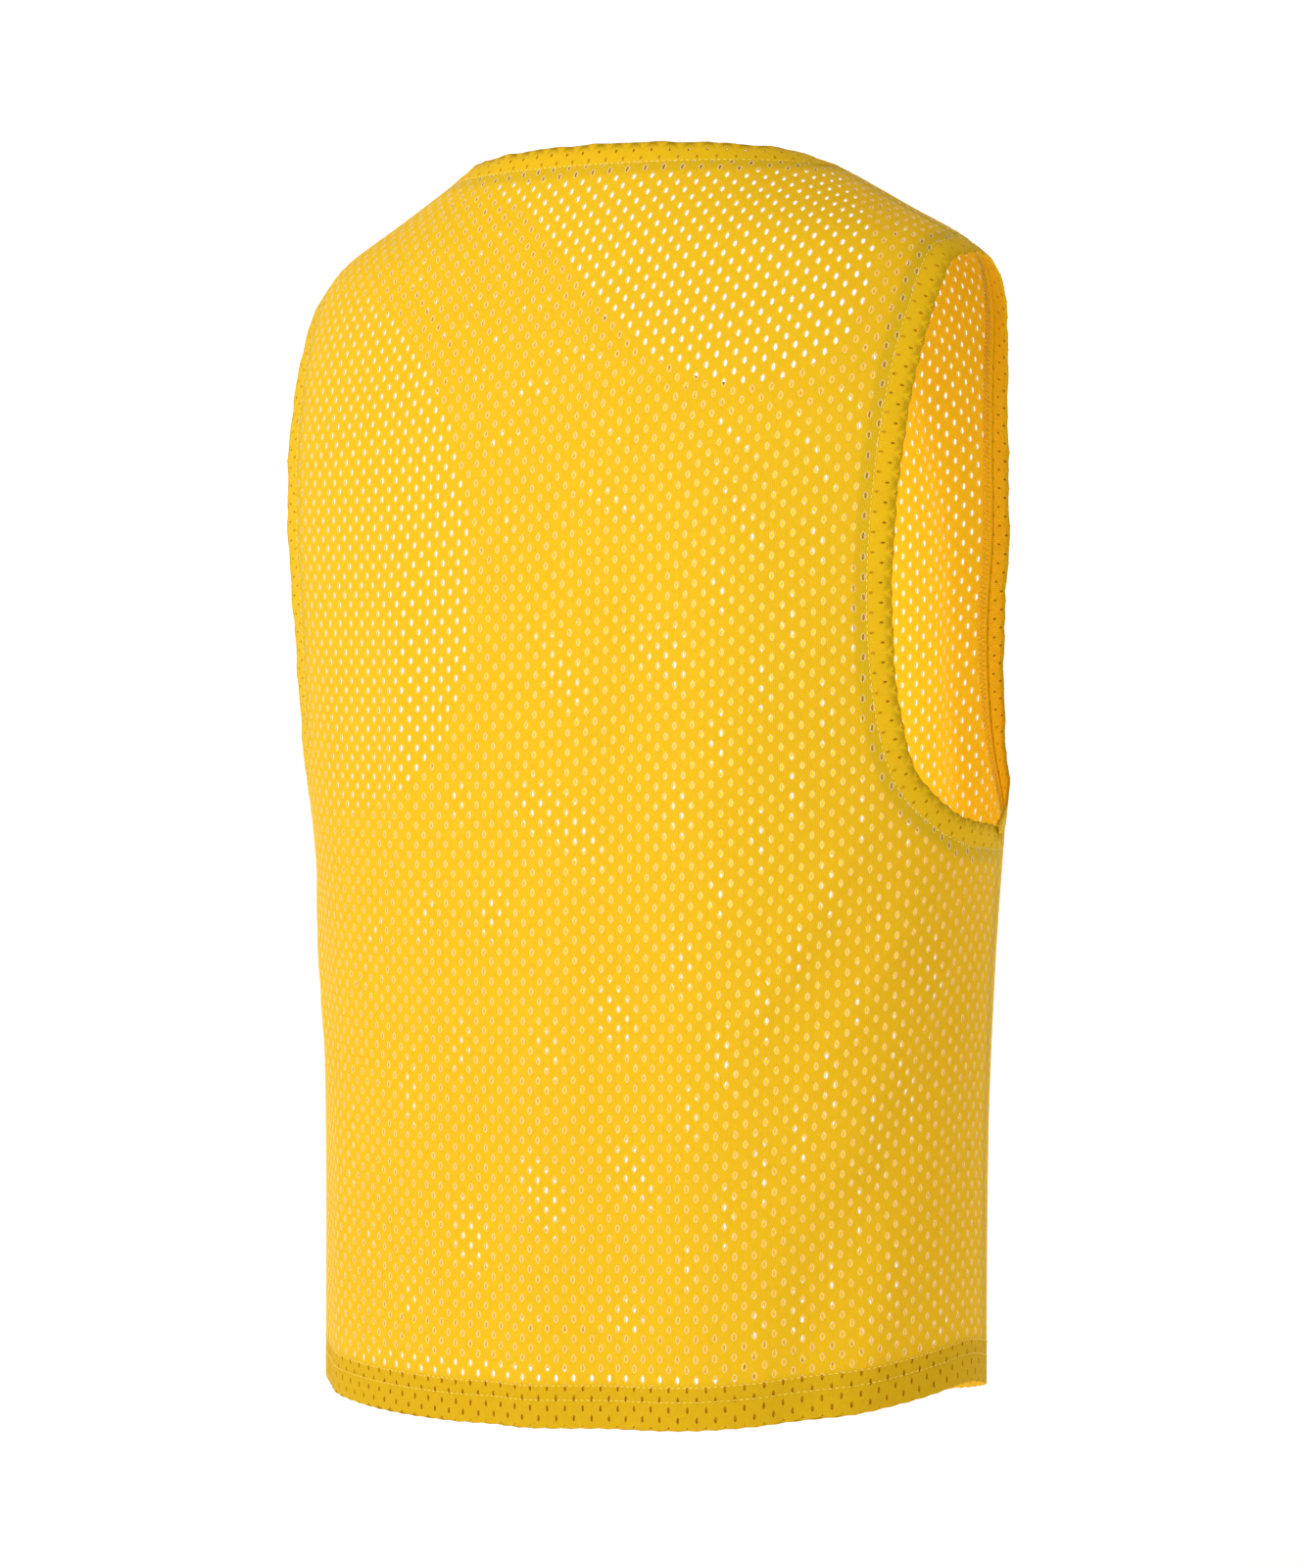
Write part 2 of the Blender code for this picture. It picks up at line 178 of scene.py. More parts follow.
# Depth of each layer below the outer cloth
ALLOWANCE_DEPTH = 0.0011
HEM_DEPTH = 0.0014

# How many stations a seam is split into, and how many of them a ring of cloth goes on past its start
BAND_STATIONS = 240
HEM_STATIONS = 360
WRAP_STATIONS = 8

# The lattice of knit cells that the panels are cut from
LATTICE_WIDTH = 0.60
LATTICE_LENGTH = 0.70

# Bands and hem: the first row of holes below the edge in hole pitches, the size of their holes beside the
# panels' holes, the share of sway that leans along the cloth, and how much the hem's long map is squeezed
BAND_FIRST_ROW = -0.75
BAND_HOLE_SHARE = 0.6
HEM_FIRST_ROW = -0.53
HEM_HOLE_SHARE = 0.8
HEM_SQUEEZE = 2.0
PUCKER_LEAN = 0.6

# Seam allowances: where a strip starts, how much wider the sides are, and the walls of its doubled edge
STRIP_START = 0.0002
SIDE_EXTRA = 0.001
STRIP_WALLS = 1.4

# Stitching: how far each line lies from its seam or from the edge of the hem
SEAM_LINE = 0.0012
OVERLOCK_LINE = 0.0050
SIDE_OVERLOCK_LINE = 0.0058
OVERLOCK_WIDTH = 0.0052
HEM_OVERLOCK_WIDTH = 0.0050
HEM_EDGE_LINE = 0.0008
HEM_OVERLOCK_LINE = 0.0024

# Fine relief and cloudiness of the cloth: the pitch of the ribs, and the scales of the noises
RIB_PITCH = 0.0010
GRAIN_SCALE = 900.0
SLUB_SCALE = 420.0
CLOUD_SCALE = 14.0

# The studio sweep: how far it runs, where it turns up behind the bib, its radius and its height
SWEEP_REACH = 9.0
SWEEP_BEHIND = 3.0
SWEEP_RADIUS = 1.2
SWEEP_HEIGHT = 6.0
SWEEP_STEPS = 12


def smooth(x):
    """A soft step from 0 to 1."""
    x = min(max(x, 0.0), 1.0)
    return x * x * (3.0 - 2.0 * x)


class Curve:
    """A smooth curve through points, straight past its ends."""

    def __init__(self, xs, ys):
        self.xs, self.ys = list(xs), list(ys)
        last = len(self.xs) - 1
        self.slopes = []
        for i in range(last + 1):
            low, high = max(i - 1, 0), min(i + 1, last)
            self.slopes.append((self.ys[high] - self.ys[low]) / (self.xs[high] - self.xs[low]))

    def at(self, x):
        xs, ys, slopes = self.xs, self.ys, self.slopes
        if x <= xs[0]:
            return ys[0] + slopes[0] * (x - xs[0])
        if x >= xs[-1]:
            return ys[-1] + slopes[-1] * (x - xs[-1])
        i = bisect_right(xs, x) - 1
        span = xs[i + 1] - xs[i]
        t = (x - xs[i]) / span
        near = (1 + 2 * t) * (1 - t) ** 2 * ys[i] + t * (1 - t) ** 2 * span * slopes[i]
        far = t * t * (3 - 2 * t) * ys[i + 1] + t * t * (t - 1) * span * slopes[i + 1]
        return near + far


HEIGHTS = [row.height for row in SECTIONS]
HALF_WIDTH = Curve(HEIGHTS, [row.half_width for row in SECTIONS])
BACK_DEPTH = Curve(HEIGHTS, [row.back_depth for row in SECTIONS])
FRONT_DEPTH = Curve(HEIGHTS, [row.front_depth for row in SECTIONS])
FULLNESS = Curve(HEIGHTS, [row.fullness for row in SECTIONS])

Panel = namedtuple("Panel", "name facing depth seam_column neck_drop")
BACK = Panel("back_panel", 1, BACK_DEPTH, "back", BACK_NECK_DROP)
FRONT = Panel("front_panel", -1, FRONT_DEPTH, "front", FRONT_NECK_DROP)


def fold_rise(angle, height):
    """How far folds and creases push the cloth out at an angle round the body and a height."""
    total = 0.0
    for fold in FOLDS + CREASES:
        inside = smooth((fold.top - height) / FOLD_FADE) * smooth((height - fold.bottom) / FOLD_FADE + 1)
        if inside > 0.0:
            share = (fold.top - height) / (fold.top - fold.bottom)
            away = (angle - fold.angle - fold.drift * share + 180.0) % 360.0 - 180.0
            if abs(away) < 3.0 * fold.half_width:
                total += fold.rise * inside * exp(-((away / fold.half_width) ** 2))
    return total


def section_reach(angle, height):
    """How far the smooth section reaches at an angle round the body."""
    turn = radians(angle)
    depth = BACK_DEPTH if cos(turn) > 0.0 else FRONT_DEPTH
    fullness = FULLNESS.at(height)
    across = abs(sin(turn)) / HALF_WIDTH.at(height)
    along = abs(cos(turn)) / depth.at(height)
    return (across**fullness + along**fullness) ** (-1.0 / fullness)


def round_point(angle, height):
    """The form at an angle round the body, in degrees from the middle of the back to the left."""
    reach = section_reach(angle, height)
    turn = radians(angle)
    x, y = reach * sin(turn), reach * cos(turn)
    out = atan2(x, y)
    rise = fold_rise(degrees(out), height)
    tilt = SHOULDER_TILT * smooth((height - UNDERARM_HEIGHT) / -UNDERARM_HEIGHT)
    return Vector((x + rise * sin(out), y + rise * cos(out), height + tilt * x))


def angle_at(panel, x, height):
    """The angle from a panel's middle at which the section lies a distance x from the middle."""
    fullness = FULLNESS.at(height)
    share = min(x / HALF_WIDTH.at(height), 1.0)
    return degrees(atan2(x, panel.depth.at(height) * (1.0 - share**fullness) ** (1.0 / fullness)))


@lru_cache(maxsize=None)
def ridge_height(x):
    """The height of the shoulder line at a distance x from the middle."""
    low, high = RIDGE_FLOOR, 0.0
    for _ in range(40):
        middle = (low + high) / 2
        if HALF_WIDTH.at(middle) > x:
            low = middle
        else:
            high = middle
    return low


def top_height(panel, x):
    """The height of a panel's neck seam or shoulder seam at a distance x from the middle."""
    if x >= NECK_SEAM_HALF:
        return ridge_height(x)
    dip = (1.0 - (x / NECK_SEAM_HALF) ** 2) ** 0.5
    return ridge_height(NECK_SEAM_HALF) - panel.neck_drop * dip


def seam_angle(panel, side):
    """The angle of a side seam from the middle of the panel."""
    from_back = LEFT_SEAM_ANGLE if side > 0 else RIGHT_SEAM_ANGLE
    return from_back if panel is BACK else 180.0 - from_back


@lru_cache(maxsize=None)
def armhole_curves(panel, side):
    """The armhole seam's rise and angle along its run, and the whole run."""
    rises = [0.0] + [edge.rise for edge in ARMHOLE_SEAM]
    angles = [seam_angle(panel, side)] + [getattr(edge, panel.seam_column) for edge in ARMHOLE_SEAM]
    armhole_height = ridge_height(SHOULDER_SEAM_HALF) - UNDERARM_HEIGHT
    reach = BACK_DEPTH.at(UNDERARM_HEIGHT)
    runs = [0.0]
    for i in range(1, len(rises)):
        climb = (rises[i] - rises[i - 1]) * armhole_height
        turn = radians(angles[i] - angles[i - 1]) * reach
        runs.append(runs[-1] + (climb * climb + turn * turn) ** 0.5)
    return Curve(runs, rises), Curve(runs, angles), runs[-1]


def fine_steps():
    """Distances from the middle to the shoulder seam's end, closer together near the neck point."""
    steps = [NECK_SEAM_HALF * sin(pi / 2 * i / FINE_STEPS) for i in range(FINE_STEPS)]
    run = SHOULDER_SEAM_HALF - NECK_SEAM_HALF
    return steps + [NECK_SEAM_HALF + run * i / FINE_STEPS for i in range(FINE_STEPS + 1)]


Spot = namedtuple("Spot", "place angle height")


def spot(panel, side, angle, height):
    """A point of the form, by its angle from the panel's middle."""
    turn = 180.0 - side * angle if panel is FRONT else side * angle
    return Spot(round_point(turn, height), angle, height)


def hem_height(place):
    """The height of the hem below a place on the form."""
    dip = HEM_BACK_DIP if place.y > 0.0 else HEM_FRONT_DIP
    depth = place.y * place.y / (abs(place.y) + HEM_SOFTNESS)
    return HEM_HEIGHT - HEM_SIDE_TILT * place.x - dip * depth


def half_row(panel, side, row):
    """Fine spots of half a row, from the middle of the panel to its edge."""
    if row <= LOWER_ROWS:
        edge = seam_angle(panel, side)
        spots = []
        for i in range(2 * FINE_STEPS + 1):
            angle = edge * i / (2 * FINE_STEPS)
            low = hem_height(spot(panel, side, angle, HEM_HEIGHT).place)
            spots.append(spot(panel, side, angle, low + (UNDERARM_HEIGHT - low) * row / LOWER_ROWS))
        return spots
    rises, angles, run = armhole_curves(panel, side)
    share = (row - LOWER_ROWS) / UPPER_ROWS
    rise, edge = rises.at(share * run), angles.at(share * run)
    middle = 0.0 if panel is BACK else 180.0
    end = UNDERARM_HEIGHT + (ridge_height(SHOULDER_SEAM_HALF) - UNDERARM_HEIGHT) * rise
    wider = section_reach(middle + edge, end) * sin(radians(edge)) - SHOULDER_SEAM_HALF
    spots = []
    for x in fine_steps():
        height = UNDERARM_HEIGHT + (top_height(panel, x) - UNDERARM_HEIGHT) * rise
        share = x / SHOULDER_SEAM_HALF
        fitted = angle_at(panel, x + wider * share**EDGE_BIAS, height)
        angle = edge * share + (fitted - edge * share) * smooth(rise / FITTED_FROM)
        spots.append(spot(panel, side, angle, height))
    return spots


def runs_along(places):
    """The length along a line at each of its points."""
    runs = [0.0]
    for near, far in zip(places, places[1:]):
        runs.append(runs[-1] + (far - near).length)
    return runs


def spread(spots, shares):
    """Spots at the given shares of a row's length."""
    runs = runs_along([one.place for one in spots])
    placed = []
    for share in shares:
        run = share * runs[-1]
        i = min(bisect_right(runs, run), len(runs) - 1)
        t = (run - runs[i - 1]) / (runs[i] - runs[i - 1])
        near, far = spots[i - 1], spots[i]
        angle = near.angle + (far.angle - near.angle) * t
        height = near.height + (far.height - near.height) * t
        placed.append(Spot(near.place.lerp(far.place, t), angle, height))
    return placed


def neck_share(panel, side):
    """The share of the top row that the neck takes."""
    runs = runs_along([one.place for one in half_row(panel, side, LOWER_ROWS + UPPER_ROWS)])
    return runs[FINE_STEPS] / runs[-1]


def column_shares(neck, row):
    """Where the columns lie along half a row: even at the hem, and meeting the neck point at the top."""
    columns = NECK_COLUMNS + SHOULDER_COLUMNS
    rise = max(row - LOWER_ROWS, 0) / UPPER_ROWS
    shares = []
    for column in range(columns + 1):
        even = column / columns
        if column <= NECK_COLUMNS:
            fitted = neck * column / NECK_COLUMNS
        else:
            fitted = neck + (1.0 - neck) * (column - NECK_COLUMNS) / SHOULDER_COLUMNS
        shares.append(even + (fitted - even) * rise * rise)
    return shares


class ClothMap:
    """Where a half panel's columns and rows of knitting lie on the form.

    A column keeps its distance from the middle, measured along the level section and eased so that the
    side seam is straight. A row keeps its distance from the hem, measured up the column.
    """

    def __init__(self, panel, side):
        steps = round((HEIGHTS[-1] - HEIGHTS[0]) / LEVEL_STEP)
        self.levels = [HEIGHTS[0] + LEVEL_STEP * j for j in range(steps + 1)]
        self.angles = [ANGLE_STEP * i for i in range(round(MAP_REACH / ANGLE_STEP) + 1)]
        seam = seam_angle(panel, side)
        self.across, places = [], []
        for level in self.levels:
            row = [spot(panel, side, angle, level).place for angle in self.angles]
            places.append(row)
            self.across.append(runs_along(row))
        base = self.read(self.across[self.level_below(UNDERARM_HEIGHT)], self.angles, seam)
        for level, row in zip(self.levels, self.across):
            if level < UNDERARM_HEIGHT:
                ease = base / self.read(row, self.angles, seam)
                row[:] = [run * ease for run in row]
        self.columns = [COLUMN_STEP * m for m in range(round(0.32 / COLUMN_STEP) + 1)]
        self.climb = [[0.0] * len(self.columns) for _ in self.levels]
        for m, column in enumerate(self.columns):
            line = [self.place_at(row, runs, column) for row, runs in zip(places, self.across)]
            hem = None
            for j in range(1, len(self.levels)):
                self.climb[j][m] = self.climb[j - 1][m] + (line[j] - line[j - 1]).length
                low, high = self.over_hem(line, j - 1), self.over_hem(line, j)
                if hem is None and high >= 0.0:
                    t = -low / (high - low)
                    hem = self.climb[j - 1][m] + t * (self.climb[j][m] - self.climb[j - 1][m])
            for j in range(len(self.levels)):
                self.climb[j][m] -= hem

    def over_hem(self, line, j):
        return self.levels[j] - hem_height(line[j])

    def level_below(self, height):
        return min(max(bisect_right(self.levels, height) - 1, 0), len(self.levels) - 2)

    @staticmethod
    def read(values, keys, key):
        """A value between the two nearest keys of an even list."""
        where = (key - keys[0]) / (keys[1] - keys[0])
        i = min(max(int(where), 0), len(keys) - 2)
        return values[i] + (values[i + 1] - values[i]) * (where - i)

    @staticmethod
    def place_at(row, runs, run):
        if run >= runs[-1]:
            return row[-1]
        i = bisect_right(runs, run)
        return row[i - 1].lerp(row[i], (run - runs[i - 1]) / (runs[i] - runs[i - 1]))

    def at(self, angle, height):
        """The distance from the middle and the distance from the hem, along the cloth."""
        j = self.level_below(height)
        t = (height - self.levels[j]) / LEVEL_STEP
        low = self.read(self.across[j], self.angles, angle)
        high = self.read(self.across[j + 1], self.angles, angle)
        out = low + (high - low) * t
        low = self.read(self.climb[j], self.columns, out)
        high = self.read(self.climb[j + 1], self.columns, out)
        return out, low + (high - low) * t


@lru_cache(maxsize=None)
def panel_grid(panel):
    """The panel's points and cloth coordinates: rows from the hem up, each from the right to the left."""
    maps = {side: ClothMap(panel, side) for side in (-1, 1)}
    necks = {side: neck_share(panel, side) for side in (-1, 1)}
    points, cloth = [], []
    for row in range(LOWER_ROWS + UPPER_ROWS + 1):
        halves = {}
        for side in (-1, 1):
            halves[side] = spread(half_row(panel, side, row), column_shares(necks[side], row))
        line, coordinates = [], []
        for side, spots in ((-1, halves[-1][:0:-1]), (1, halves[1])):
            for one in spots:
                out, up = maps[side].at(one.angle, one.height)
                line.append(one.place)
                coordinates.append(Vector((MAP_MIDDLE + side * out, MAP_LOW + up, 0.0)))
        points.append(line)
        cloth.append(coordinates)
    return points, cloth


def normals_of(rows, facing):
    """The outward direction at each of a grid's points, from the cells around it."""
    last_row, last_column = len(rows) - 1, len(rows[0]) - 1
    normals = [[Vector((0.0, 0.0, 0.0)) for _ in row] for row in rows]
    for r in range(last_row):
        for c in range(last_column):
            rising = rows[r + 1][c + 1] - rows[r][c]
            falling = rows[r][c + 1] - rows[r + 1][c]
            cell = falling.cross(rising).normalized() * -facing
            for row, column in ((r, c), (r, c + 1), (r + 1, c), (r + 1, c + 1)):
                normals[row][column] += cell
    return [[normal.normalized() for normal in row] for row in normals]


@lru_cache(maxsize=None)
def panel_normals(panel):
    return normals_of(panel_grid(panel)[0], panel.facing)


def outline_of(rows):
    """The places of a grid's outline, once round."""
    last_row, last_column = len(rows) - 1, len(rows[0]) - 1
    outline = [(0, c) for c in range(last_column)]
    outline += [(r, last_column) for r in range(last_row)]
    outline += [(last_row, c) for c in range(last_column, 0, -1)]
    return outline + [(r, 0) for r in range(last_row, 0, -1)]


def outward_steps(rows, normals):
    """For each place of the outline, the step that moves it out by one unit all along the edge."""
    last_row, last_column = len(rows) - 1, len(rows[0]) - 1
    outline = outline_of(rows)
    steps, leaning = {}, 0.0
    for i, (r, c) in enumerate(outline):
        before, after = outline[i - 1], outline[(i + 1) % len(outline)]
        here, normal = rows[r][c], normals[r][c]
        first = normal.cross(here - rows[before[0]][before[1]]).normalized()
        second = normal.cross(rows[after[0]][after[1]] - here).normalized()
        steps[r, c] = (first + second) / max(1.0 + first.dot(second), 0.5)
        inside = rows[min(max(r, 1), last_row - 1)][min(max(c, 1), last_column - 1)] - here
        leaning += steps[r, c].dot(inside)
    return {place: -step if leaning > 0.0 else step for place, step in steps.items()}


def tuck_at(r, c, last_column):
    """How far a panel's edge goes on inside a band at a place of the outline."""
    if r == LOWER_ROWS + UPPER_ROWS and SHOULDER_COLUMNS < c < SHOULDER_COLUMNS + 2 * NECK_COLUMNS:
        return TUCK
    if c in (0, last_column) and LOWER_ROWS < r < LOWER_ROWS + UPPER_ROWS:
        return TUCK
    return 0.0


def grid_mesh(name, rows, cloth=None, outside=None, flip=False, closed=False):
    """A mesh of quads through rows of points, with its cloth coordinates."""
    width = len(rows[0])
    points = [point for row in rows for point in row]
    faces = []
    for r in range(len(rows) - 1):
        for c in range(width if closed else width - 1):
            a, b = r * width + c, r * width + (c + 1) % width
            face = (a, b, b + width, a + width)
            faces.append(face[::-1] if flip else face)
    mesh = bpy.data.meshes.new(name)
    mesh.from_pydata(points, [], faces)
    if cloth:
        flat = [place for row in cloth for place in row]
        layer = mesh.uv_layers.new(name="cloth")
        for loop in mesh.loops:
            place = flat[loop.vertex_index]
            layer.data[loop.index].uv = (place.x, place.y)
    if outside:
        attribute = mesh.attributes.new("outside", "FLOAT", "POINT")
        attribute.data.foreach_set("value", [value for row in outside for value in row])
    mesh.shade_smooth()
    return mesh


def widened_panel(panel):
    """The panel's grid with its edges tucked into the bands and two rings of cells beyond its outline."""
    points, cloth = panel_grid(panel)
    normals = panel_normals(panel)
    last_row, last_column = len(points) - 1, len(points[0]) - 1
    steps = outward_steps(points, normals)
    flat_normals = [[Vector((0.0, 0.0, 1.0))] * (last_column + 1)] * (last_row + 1)
    flat_steps = outward_steps(cloth, flat_normals)
    wide_points, wide_cloth, outside = [], [], []
    for r in range(-2, last_row + 3):
        line, coordinates, beyond = [], [], []
        for c in range(-2, last_column + 3):
            row, column = min(max(r, 0), last_row), min(max(c, 0), last_column)
            ring = max(abs(r - row), abs(c - column))
            place, flat = points[row][column], cloth[row][column]
            if ring:
                tuck = tuck_at(row, column, last_column)
                reach = max(tuck, 0.0001) + (EDGE_MARGIN if ring == 2 else 0.0)
                place = place + steps[row, column] * tuck
                flat = flat + flat_steps[row, column] * reach
            line.append(place)
            coordinates.append(flat)
            beyond.append(1.0 if ring == 2 else 0.0)
        wide_points.append(line)
        wide_cloth.append(coordinates)
        outside.append(beyond)
    return grid_mesh(panel.name + " form", wide_points, wide_cloth, outside, panel is BACK)


class Nodes:
    """A node tree under construction, with short calls to add and link nodes."""

    def __init__(self, tree):
        self.tree = tree

    def add(self, kind, inputs=None, **settings):
        node = self.tree.nodes.new(kind)
        for name, value in settings.items():
            setattr(node, name, value)
        for key, value in (inputs or {}).items():
            self.feed(node.inputs[key], value)
        return node

    def feed(self, socket, value):
        if isinstance(value, bpy.types.Node):
            value = next(out for out in value.outputs if out.enabled)
        if isinstance(value, bpy.types.NodeSocket):
            self.tree.links.new(value, socket)
        else:
            socket.default_value = value

    def math(self, operation, *values):
        return self.add("ShaderNodeMath", dict(enumerate(values)), operation=operation)

    def attribute(self, name, kind="FLOAT"):
        return self.add("GeometryNodeInputNamedAttribute", {"Name": name}, data_type=kind)

    def store(self, geometry, name, value, kind="FLOAT", domain="POINT"):
        inputs = {"Geometry": geometry, "Name": name, "Value": value}
        return self.add("GeometryNodeStoreNamedAttribute", inputs, data_type=kind, domain=domain)


def new_tree(name, sockets):
    """An empty geometry tree with the named inputs."""
    tree = bpy.data.node_groups.new(name, "GeometryNodeTree")
    tree.interface.new_socket("Geometry", in_out="INPUT", socket_type="NodeSocketGeometry")
    for title, kind in sockets:
        tree.interface.new_socket(title, in_out="INPUT", socket_type="NodeSocket" + kind)
    tree.interface.new_socket("Geometry", in_out="OUTPUT", socket_type="NodeSocketGeometry")
    return tree


def knit_cell():
    """One cell of the knit: a lozenge with an upright oval hole, both of unit size."""
    corners = [(1.0, 0.0), (0.0, 1.0), (-1.0, 0.0), (0.0, -1.0)]
    hole = [(0.0, 1.0), (0.87, 0.46), (0.87, -0.46), (0.0, -1.0), (-0.87, -0.46), (-0.87, 0.46)]
    faces = [(0, 1, 4, 5), (0, 5, 6), (0, 6, 7, 3), (2, 3, 7, 8), (2, 8, 9), (2, 9, 4, 1)]
    mesh = bpy.data.meshes.new("knit cell")
    mesh.from_pydata([(x, y, 0.0) for x, y in corners + hole], [], faces)
    edge = mesh.attributes.new("hole_edge", "FLOAT", "POINT")
    edge.data.foreach_set("value", [0.0] * len(corners) + [1.0] * len(hole))
    return bpy.data.objects.new("knit cell", mesh)


KNIT_SOCKETS = (
    ("Cell", "Object"),
    ("Columns", "Int"),
    ("Rows", "Int"),
    ("First place", "Vector"),
    ("Column pitch", "Float"),
    ("Hole pitch", "Float"),
    ("Hole width", "Float"),
    ("Hole height", "Float"),
    ("Wobble", "Float"),
    ("Finish", "Material"),
)


def knit_tree():
    """Cells on staggered rows and columns of the cloth, carried over to the draped form."""
    tree = new_tree("Knitted mesh", KNIT_SOCKETS)
    n = Nodes(tree)
    given = n.add("NodeGroupInput").outputs
    index = n.add("GeometryNodeInputIndex")
    column = n.math("FLOOR", n.math("DIVIDE", index, given["Rows"]))
    row = n.math("SUBTRACT", index, n.math("MULTIPLY", column, given["Rows"]))
    stagger = n.math("MULTIPLY", n.math("MODULO", column, 2.0), 0.5)
    out = n.math("MULTIPLY", column, given["Column pitch"])
    up = n.math("MULTIPLY", n.math("ADD", row, stagger), given["Hole pitch"])
    place = n.add("ShaderNodeCombineXYZ", {"X": out, "Y": up})
    place = n.add("ShaderNodeVectorMath", {0: place, 1: given["First place"]}, operation="ADD")
    count = n.math("MULTIPLY", given["Columns"], given["Rows"])
    points = n.add("GeometryNodePoints", {"Count": count, "Position": place})
    cell = n.add("GeometryNodeObjectInfo", {"Object": given["Cell"]}).outputs["Geometry"]
    half_hole = n.math("MULTIPLY", given["Hole pitch"], 0.5)
    corner = n.add("ShaderNodeCombineXYZ", {"X": given["Column pitch"], "Y": half_hole})
    wide = n.math("MULTIPLY", given["Hole width"], 0.5)
    high = n.math("MULTIPLY", given["Hole height"], 0.5)
    hole = n.add("ShaderNodeCombineXYZ", {"X": wide, "Y": high})
    size = n.add("ShaderNodeMix", data_type="VECTOR")
    n.feed(size.inputs["Factor"], n.attribute("hole_edge"))
    n.feed(size.inputs[4], corner)
    n.feed(size.inputs[5], hole)
    here = n.add("GeometryNodeInputPosition")
    sized = n.add("ShaderNodeVectorMath", {0: here, 1: size.outputs[1]}, operation="MULTIPLY")
    cell = n.add("GeometryNodeSetPosition", {"Geometry": cell, "Position": sized})
    cells = n.add("GeometryNodeInstanceOnPoints", {"Points": points, "Instance": cell})
    lattice = n.add("GeometryNodeRealizeInstances", {"Geometry": cells})
    weld = n.math("MULTIPLY", given["Column pitch"], 0.02)
    lattice = n.add("GeometryNodeMergeByDistance", {"Geometry": lattice, "Distance": weld})
    noise = n.add("ShaderNodeTexNoise", {"Scale": 26.0, "Detail": 2.0}, noise_dimensions="2D")
    n.feed(noise.inputs["Vector"], here)
    shift = n.add("ShaderNodeVectorMath", {0: noise.outputs["Color"], 1: (0.5, 0.5, 0.5)})
    shift.operation = "SUBTRACT"
    sway = n.add("ShaderNodeVectorMath", {0: shift, "Scale": given["Wobble"]}, operation="SCALE")
    sway = n.add("ShaderNodeVectorMath", {0: sway, 1: (1.0, 1.0, 0.0)}, operation="MULTIPLY")
    lattice = n.add("GeometryNodeSetPosition", {"Geometry": lattice, "Offset": sway})
    lattice = n.store(lattice, "flat", here, "FLOAT_VECTOR")
    flat = n.attribute("flat", "FLOAT_VECTOR")
    lattice = n.store(lattice, "cloth", flat, "FLOAT2", "CORNER")
    source = n.attribute("cloth", "FLOAT_VECTOR")
    finds = []
    for kind, value in (("FLOAT_VECTOR", here), ("FLOAT", n.attribute("outside"))):
        find = n.add("GeometryNodeSampleUVSurface", data_type=kind)
        sockets = [socket for socket in find.inputs if socket.enabled]
        for socket, value in zip(sockets, (given["Geometry"], value, source, flat)):
            n.feed(socket, value)
        finds.append(find)
    lost = n.math("SUBTRACT", 1.0, finds[0].outputs["Is Valid"])
    lattice = n.store(lattice, "lost", lost)
    beyond = n.math("GREATER_THAN", finds[1], 0.001)
    lattice = n.store(lattice, "beyond", beyond)
    draped = n.add("GeometryNodeSetPosition", {"Geometry": lattice, "Position": finds[0]})
    off = n.math("GREATER_THAN", n.attribute("lost"), 0.001)
    past = n.math("GREATER_THAN", n.attribute("beyond"), 0.999)
    either = n.math("MAXIMUM", off, past)
    draped = n.add("GeometryNodeDeleteGeometry", {"Geometry": draped, "Selection": either}, domain="FACE")
    draped = n.add("GeometryNodeMergeByDistance", {"Geometry": draped, "Distance": 0.00012})
    for name in ("flat", "lost", "beyond"):
        draped = n.add("GeometryNodeRemoveAttribute", {"Geometry": draped, "Name": name})
    draped = n.add("GeometryNodeSetShadeSmooth", {"Geometry": draped})
    neighbours = n.add("GeometryNodeInputMeshEdgeNeighbors")
    rim = n.math("LESS_THAN", neighbours, 1.5)
    sharp = {"Geometry": draped, "Selection": rim, "Shade Smooth": False}
    draped = n.add("GeometryNodeSetShadeSmooth", sharp, domain="EDGE")
    draped = n.add("GeometryNodeRealizeInstances", {"Geometry": draped})
    draped = n.add("GeometryNodeSetMaterial", {"Geometry": draped, "Material": given["Finish"]})
    n.add("NodeGroupOutput", {"Geometry": draped})
    return tree


STITCH_SOCKETS = (
    ("Stitch pitch", "Float"),
    ("Stitch length", "Float"),
    ("Thread thickness", "Float"),
    ("Finish", "Material"),
)


def even_curve(n, given, pitch):
    """The seam line as a curve with a point at every stitch."""
    curve = n.add("GeometryNodeMeshToCurve", {"Mesh": given["Geometry"]})
    curve = n.add("GeometryNodeResampleCurve", {"Curve": curve}, mode="LENGTH")
    n.feed(curve.inputs["Length"], pitch)
    return curve


